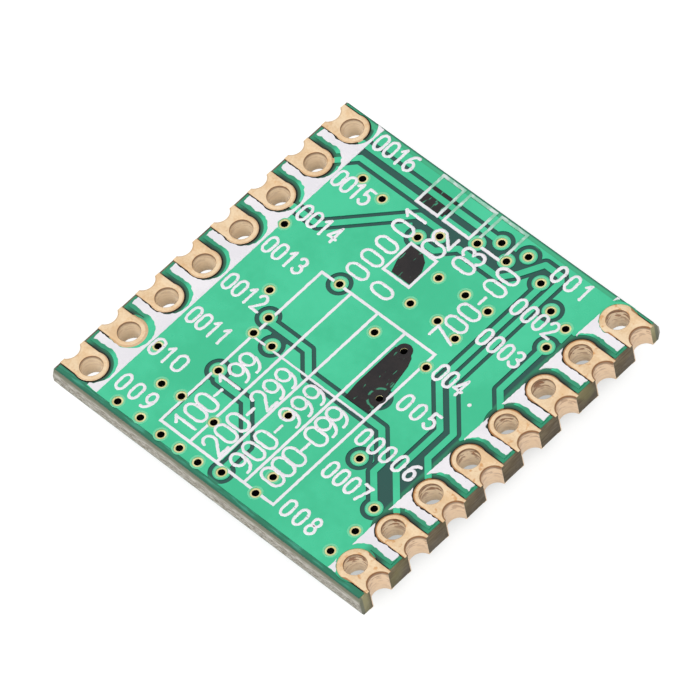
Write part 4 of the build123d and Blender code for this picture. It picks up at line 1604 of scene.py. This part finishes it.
@dataclass
class ScreenPrint:
    """The printed bands, rules and boxes with the thin, frayed outline that a coarse screen leaves."""

    shop: Workshop
    node: str = "solder_side_legend"
    longest_edge: float = 0.095
    inset: float = 0.013
    fray: float = 0.016
    band_fray: float = 0.055
    bands_from: Point = (6.05, 6.40)
    cells: float = 6.5
    opposed: float = 0.2

    def outline_inset(self, vert: bmesh.types.BMVert) -> Vector:
        """How far a point of the outline moves inwards so that the print gets thinner.

        Args:
            vert: A point of the print, in millimetres.

        Returns:
            The move, level with the board.
        """
        upright = [face.normal for face in vert.link_faces if abs(face.normal.z) < ALONG_LIMIT]
        walls = {tuple(round(part, 2) for part in normal): normal for normal in upright}
        total = sum(walls.values(), Vector())
        if total.length < self.opposed:
            return Vector()
        return -total * (self.inset * len(walls) / total.length_squared)

    def warp(self, spot: Vector) -> Vector:
        """How far the screen's weave shifts a point, more round the pads than on the rules.

        Args:
            spot: A point of the print, in millimetres.

        Returns:
            The move, level with the board.
        """
        seen = Vector((spot.x, spot.y, 0)) * self.cells
        near, far = self.bands_from
        share = min(1.0, max(0.0, (abs(spot.x) - near) / (far - near)))
        reach = self.fray + (self.band_fray - self.fray) * share
        return Vector((noise.noise(seen), noise.noise(seen + Vector((0, 0, 9))), 0)) * reach

    def halve(self, triangles: list[tuple[int, ...]], places: list[Vector]) -> list[tuple[int, ...]]:
        """Halves the longest edge of each triangle until no edge is too long.

        Args:
            triangles: Numbers of the corners of each triangle.
            places: Where each corner is, in millimetres; the new ones are added to it.

        Returns:
            Numbers of the corners of the small triangles.
        """
        middles: dict[frozenset[int], int] = {}
        waiting, small = list(triangles), []
        while waiting:
            a, b, c = waiting.pop()
            turned = ((a, b, c), (b, c, a), (c, a, b))
            a, b, c = max(turned, key=lambda turn: (places[turn[0]] - places[turn[1]]).length)
            if (places[a] - places[b]).length <= self.longest_edge:
                small.append((a, b, c))
                continue
            edge = frozenset((a, b))
            if edge not in middles:
                middles[edge] = len(places)
                places.append((places[a] + places[b]) / 2)
            waiting += [(a, middles[edge], c), (middles[edge], b, c)]
        return small

    def build(self) -> None:
        """Makes the print from a merged copy of the frame's node."""
        bm = merged_copy(self.node)
        bm.verts.index_update()
        places = [vert.co + self.outline_inset(vert) for vert in bm.verts]
        triangles = [tuple(vert.index for vert in face.verts) for face in bm.faces]
        bm.free()
        small = self.halve(triangles, places)
        mesh = bpy.data.meshes.new("print")
        mesh.from_pydata([(place + self.warp(place)) * MM for place in places], [], small)
        self.shop.place("screen_print", mesh, Slot.LEGEND, [self.node], 0.0)


class Glyphs:
    """Plain stroke numerals, one unit high, as a plotter draws them."""

    WIDTH = 0.60

    def __init__(self) -> None:
        """Draws every numeral once."""
        half = self.WIDTH / 2
        bowl = arc((0.30, 0.31), (0.29, 0.31), 0, 360, 20)
        six = [bowl, arc((0.46, 0.42), (0.45, 0.58), 176, 84, 9)]
        self.strokes: dict[str, list[list[Point]]] = {
            "0": [[*arc((half, 0.70), (0.29, 0.30), 0, 180, 10),
                   *arc((half, 0.30), (0.29, 0.30), 180, 360, 10), (half + 0.29, 0.70)]],
            "1": [[(0.10, 0.78), (0.34, 1.0), (0.34, 0.0)]],
            "2": [[*arc((0.29, 0.71), (0.28, 0.29), 165, -28, 10), (0.02, 0.0), (0.60, 0.0)]],
            "3": [[*arc((0.27, 0.76), (0.26, 0.24), 155, -88, 10),
                   *arc((0.28, 0.26), (0.30, 0.26), 88, -155, 11)]],
            "4": [[(0.62, 0.28), (0.0, 0.28), (0.44, 1.0), (0.44, 0.0)]],
            "5": [[(0.55, 1.0), (0.09, 1.0), (0.05, 0.56), *arc((0.27, 0.32), (0.31, 0.32), 120, -150, 12)]],
            "6": six,
            "7": [[(0.0, 1.0), (0.58, 1.0), (0.18, 0.0)]],
            "8": [arc((half, 0.76), (0.25, 0.24), -90, 270, 16),
                  arc((half, 0.26), (0.30, 0.26), 90, 450, 18)],
            "9": [[(self.WIDTH - px, 1 - py) for px, py in stroke] for stroke in six],
            "-": [[(0.08, 0.48), (0.50, 0.48)]],
        }


@dataclass(frozen=True)
class Number:
    """A printed number: text, middle of its start, length, height, direction and width of its signs."""

    text: str
    start: Point
    span: float
    height: float = 0.74
    reading: Reading = Reading.ACROSS
    narrow: float = 0.84

    @property
    def advance(self) -> float:
        """Distance from the start of one sign to the start of the next."""
        return (self.span - Glyphs.WIDTH * self.narrow * self.height) / max(1, len(self.text) - 1)


@dataclass(frozen=True)
class PinLabel:
    """Where a pin's number starts, how long it is and how many digits it has."""

    start: Point
    span: float
    digits: int
    narrow: float = 0.84


@dataclass
class PrintedNumbers:
    """Plain numbers printed in white beside the pads, the boxes and in the table."""

    shop: Workshop
    pin_labels: tuple[PinLabel, ...] = (
        PinLabel((3.59, 7.20), 1.71, 3), PinLabel((3.42, 5.18), 2.05, 4),
        PinLabel((3.38, 3.40), 2.02, 4), PinLabel((3.21, 1.20), 1.40, 3),
        PinLabel((3.13, -0.60), 1.73, 3), PinLabel((3.00, -2.68), 2.86, 5),
        PinLabel((3.06, -4.50), 2.04, 4), PinLabel((3.04, -6.70), 1.66, 3),
        PinLabel((-5.74, -6.62), 1.74, 3), PinLabel((-5.94, -4.70), 1.66, 3, 1.0),
        PinLabel((-5.83, -2.80), 1.93, 4), PinLabel((-5.86, -0.85), 1.96, 4),
        PinLabel((-5.86, 1.30), 1.96, 4), PinLabel((-5.86, 3.17), 1.96, 4),
        PinLabel((-5.96, 5.14), 1.80, 4), PinLabel((-5.86, 7.32), 1.92, 4),
    )
    box_height: float = 0.97
    table_height: float = 1.0
    stroke: float = 0.14
    level: float = 2.040
    half_height: float = 0.0255
    ragged: float = 0.09
    ragged_scale: float = 8.5
    run: float = 0.04
    round_sides: int = 10
    end_segments: int = 14
    end_rings: int = 8
    corner_deg: float = 35
    seed: int = 5
    glyphs: Glyphs = field(default_factory=Glyphs)

    def pad_numbers(self) -> list[Number]:
        """The pin's own number beside each pad."""
        return [
            Number(f"{pin:0{label.digits}d}", label.start, label.span, narrow=label.narrow)
            for pin, label in enumerate(self.pin_labels, 1)
        ]

    def field_numbers(self) -> list[Number]:
        """Numbers that read upward: beside the boxes, in the middle and in the table.

        Returns:
            The numbers.
        """
        up, tall, row = Reading.UPWARD, self.box_height, self.table_height
        return [
            Number("01", (-2.27, 4.77), 1.16, tall, up), Number("000", (-2.23, 2.27), 2.06, tall, up),
            Number("02", (-0.73, 4.77), 1.16, tall, up, 1.0), Number("0", (-0.90, 2.22), 0.71, tall, up),
            Number("03", (0.70, 4.97), 1.06, tall, up), Number("700-00", (2.34, 2.19), 3.96, tall, up),
            Number("100-199", (-2.46, -6.73), 4.01, row, up),
            Number("200-299", (-0.92, -6.73), 4.36, row, up),
            Number("900-999", (0.44, -6.64), 4.41, row, up),
            Number("000-099", (1.79, -6.38), 4.01, row, up, 0.92),
        ]

    def carrier(self, name: str, numbers: Iterable[Number]) -> bpy.types.Mesh:
        """Lays out the strokes as edges, with a mark on the points that take a round end.

        Args:
            name: Name of the mesh.
            numbers: The numbers to lay out.

        Returns:
            The edges, in millimetres.
        """
        verts: list[tuple[float, float, float]] = []
        edges: list[tuple[int, int]] = []
        ends: list[bool] = []
        for number in numbers:
            turn = Matrix.Rotation(math.radians(number.reading.value), 2)
            for place, sign in enumerate(number.text):
                pen = place * number.advance
                for stroke in self.glyphs.strokes[sign]:
                    first = len(verts)
                    for px, py in stroke:
                        flat = Vector((pen + px * number.narrow * number.height, (py - 0.5) * number.height))
                        spot = Vector(number.start) + turn @ flat
                        verts.append((spot.x, spot.y, 0.0))
                    edges += [(i, i + 1) for i in range(first, len(verts) - 1)]
                    ends += self.marks(stroke)
        mesh = bpy.data.meshes.new(name)
        mesh.from_pydata(verts, edges, [])
        mesh.attributes.new("stroke_end", "BOOLEAN", "POINT").data.foreach_set("value", ends)
        return mesh

    def marks(self, stroke: Sequence[Point]) -> list[bool]:
        """Marks a stroke's two ends and its sharp corners.

        Args:
            stroke: The stroke's points.

        Returns:
            A mark for each point.
        """
        result = [True]
        for before, here, after in zip(stroke, stroke[1:], stroke[2:]):
            incoming = math.atan2(here[1] - before[1], here[0] - before[0])
            leaving = math.atan2(after[1] - here[1], after[0] - here[0])
            bend = abs((leaving - incoming + math.pi) % (2 * math.pi) - math.pi)
            result.append(bend > math.radians(self.corner_deg))
        return [*result, True]

    def recipe(self) -> Recipe:
        """The tree that turns edges into low, round-ended strokes with ragged sides.

        Returns:
            The tree's recipe.
        """
        recipe = Recipe("printed strokes")
        wires = recipe.wires
        stroke, level, flatness, ragged, seed = recipe.sizes("Stroke", "Level", "Flatness", "Ragged", "Seed")
        radius = wires.math("DIVIDE", stroke, 2.0)
        curve = wires.feed(wires.add("GeometryNodeMeshToCurve"), Mesh=recipe.carrier)
        even = wires.add("GeometryNodeResampleCurve", mode="LENGTH")
        wires.feed(even, Curve=curve.outputs[0], Length=self.run)
        profile = wires.feed(wires.add("GeometryNodeCurvePrimitiveCircle"), Radius=radius)
        profile.inputs["Resolution"].default_value = self.round_sides
        sweep = wires.add("GeometryNodeCurveToMesh")
        wires.feed(sweep, Curve=even.outputs[0], Profile_Curve=profile.outputs[0], Fill_Caps=True)
        ball = wires.add("GeometryNodeMeshUVSphere")
        wires.feed(ball, Segments=self.end_segments, Rings=self.end_rings, Radius=radius)
        marked = wires.add("GeometryNodeInputNamedAttribute", data_type="BOOLEAN")
        marked.inputs["Name"].default_value = "stroke_end"
        capped = wires.add("GeometryNodeInstanceOnPoints")
        wires.feed(capped, Points=recipe.carrier, Instance=ball.outputs[0])
        wires.put(capped.inputs["Selection"], marked.outputs["Attribute"])
        real = wires.feed(wires.add("GeometryNodeRealizeInstances"), Geometry=capped.outputs[0])
        join = wires.add("GeometryNodeJoinGeometry")
        for shape in (sweep.outputs[0], real.outputs[0]):
            wires.tree.links.new(shape, join.inputs[0])
        place = wires.add("GeometryNodeInputPosition").outputs[0]
        x, y, z = wires.parts(place)
        fray = wires.add("ShaderNodeTexNoise", noise_dimensions="4D")
        wires.feed(fray, Vector=place, W=seed, Scale=self.ragged_scale, Detail=3.0)
        centred = wires.add("ShaderNodeVectorMath", operation="SUBTRACT")
        wires.put(centred.inputs[0], fray.outputs["Color"])
        centred.inputs[1].default_value = (0.5, 0.5, 0.5)
        side_x, side_y, _ = wires.parts(centred.outputs[0])
        flat = wires.vector(
            wires.math("MULTIPLY_ADD", side_x, ragged, x), wires.math("MULTIPLY_ADD", side_y, ragged, y),
            wires.math("MULTIPLY_ADD", z, flatness, level),
        )
        pressed = wires.add("GeometryNodeSetPosition")
        wires.feed(pressed, Geometry=join.outputs[0], Position=flat)
        recipe.close(pressed.outputs[0])
        return recipe

    def build(self) -> None:
        """Makes the pad numbers and the field numbers as two pieces."""
        recipe = self.recipe()
        for name, numbers in (("pad_numbers", self.pad_numbers()), ("field_numbers", self.field_numbers())):
            mesh = recipe.run(
                self.carrier(name, numbers), Stroke=self.stroke, Level=self.level,
                Flatness=self.half_height / (self.stroke / 2), Ragged=self.ragged, Seed=float(self.seed),
                Material=self.shop.materials[Slot.LEGEND],
            )
            self.shop.place(name, mesh, Slot.LEGEND)


@dataclass(frozen=True)
class PhotoCamera:
    """A long lens from high on the right of the near side."""

    azimuth_deg: float = 55.418
    elevation_deg: float = 54.514
    roll_deg: float = 13.364
    distance: float = 0.33406
    target: tuple[float, float, float] = (0.04387 * MM, -0.22186 * MM, 2.04 * MM)
    sensor_mm: float = 36.0
    focal_pixels: float = 9000.0
    picture_pixels: float = 700.0
    clip: tuple[float, float] = (0.01, 10.0)

    def build(self) -> None:
        """Makes the scene's camera."""
        back = toward(self.azimuth_deg, self.elevation_deg)
        data = bpy.data.cameras.new("photo_camera")
        data.sensor_width = self.sensor_mm
        data.lens = self.sensor_mm * self.focal_pixels / self.picture_pixels
        data.clip_start, data.clip_end = self.clip
        camera = bpy.data.objects.new("photo_camera", data)
        bpy.context.scene.collection.objects.link(camera)
        camera.rotation_mode = "QUATERNION"
        camera.location = Vector(self.target) + back * self.distance
        level = (-back).to_track_quat("-Z", "Y")
        camera.rotation_quaternion = level @ Quaternion((0, 0, 1), -math.radians(self.roll_deg))
        bpy.context.scene.camera = camera


@dataclass(frozen=True)
class Lamp:
    """A soft sun: its direction from the object, its irradiance and its apparent size."""

    name: str
    azimuth_deg: float
    elevation_deg: float
    strength: float
    angle_deg: float

    def build(self) -> None:
        """Adds the sun to the scene."""
        back = toward(self.azimuth_deg, self.elevation_deg)
        data = bpy.data.lights.new(self.name, "SUN")
        data.energy = self.strength
        data.angle = math.radians(self.angle_deg)
        lamp = bpy.data.objects.new(self.name, data)
        lamp.rotation_mode = "QUATERNION"
        lamp.rotation_quaternion = (-back).to_track_quat("-Z", "Y")
        lamp.location = back
        bpy.context.scene.collection.objects.link(lamp)


@dataclass(frozen=True)
class Studio:
    """A white floor and room, lit by two soft suns."""

    floor_half: float = 0.6
    floor_level: float = -0.02 * MM
    room_light: float = 0.55
    floor_glow: float = 0.80
    floor_tone: float = 0.35
    contact_reach: float = 3.0 * MM
    contact_range: tuple[float, float] = (0.10, 0.48)
    contact_shade: float = 0.42
    contact_samples: int = 16
    lamps: tuple[Lamp, ...] = (
        Lamp("key", 330.0, 52.0, 0.95, 30.0), Lamp("fill", 56.0, 46.0, 0.95, 40.0),
    )

    def floor(self) -> None:
        """A plain white floor that keeps a faint shadow."""
        mesh = bpy.data.meshes.new("floor")
        half = self.floor_half
        corners = ((-half, -half), (half, -half), (half, half), (-half, half))
        mesh.from_pydata([(x, y, self.floor_level) for x, y in corners], [], [(0, 1, 2, 3)])
        material = bpy.data.materials.new("floor")
        material.use_nodes = True
        wires = Wiring(material.node_tree)
        material.node_tree.nodes.remove(material.node_tree.nodes["Principled BSDF"])
        matte = wires.add("ShaderNodeBsdfDiffuse")
        matte.inputs["Color"].default_value = (self.floor_tone, self.floor_tone, self.floor_tone, 1)
        contact = wires.add("ShaderNodeAmbientOcclusion", samples=self.contact_samples)
        wires.feed(contact, Distance=self.contact_reach)
        open_share = wires.step(contact.outputs["AO"], *self.contact_range)
        lit = wires.math("MULTIPLY_ADD", open_share, self.contact_shade, 1.0 - self.contact_shade)
        strength = wires.math("MULTIPLY", wires.math("MULTIPLY", wires.seen(), self.floor_glow), lit)
        glow = wires.feed(wires.add("ShaderNodeEmission"), Strength=strength)
        both = wires.add("ShaderNodeAddShader")
        wires.put(both.inputs[0], matte.outputs[0])
        wires.put(both.inputs[1], glow.outputs[0])
        wires.put(material.node_tree.nodes["Material Output"].inputs["Surface"], both.outputs[0])
        mesh.materials.append(material)
        floor = bpy.data.objects.new("floor", mesh)
        bpy.context.scene.collection.objects.link(floor)

    def room(self) -> None:
        """A world that is white to the eye and to gloss, and dimmer as a light."""
        world = bpy.data.worlds.new("room")
        world.use_nodes = True
        wires = Wiring(world.node_tree)
        strength = wires.math("MULTIPLY_ADD", wires.seen(), 1.0 - self.room_light, self.room_light)
        background = world.node_tree.nodes["Background"]
        background.inputs["Color"].default_value = (1, 1, 1, 1)
        wires.put(background.inputs["Strength"], strength)
        bpy.context.scene.world = world

    def build(self) -> None:
        """Makes the floor, the room and the lamps."""
        self.floor()
        self.room()
        for lamp in self.lamps:
            lamp.build()


def main() -> None:
    """Builds every piece, then the camera, the floor and the light."""
    logging.basicConfig(level=logging.INFO, format="%(name)s: %(message)s")
    bpy.context.scene.view_settings.view_transform = "Standard"
    shop = Workshop()
    shop.dress_frame()
    PhotoCamera().build()
    Studio().build()
    EdgePads(shop).build()
    Vias(shop).build()
    ScoredPanel(shop).build()
    ScreenPrint(shop).build()
    PrintedNumbers(shop).build()


if __name__ == "__main__":
    main()
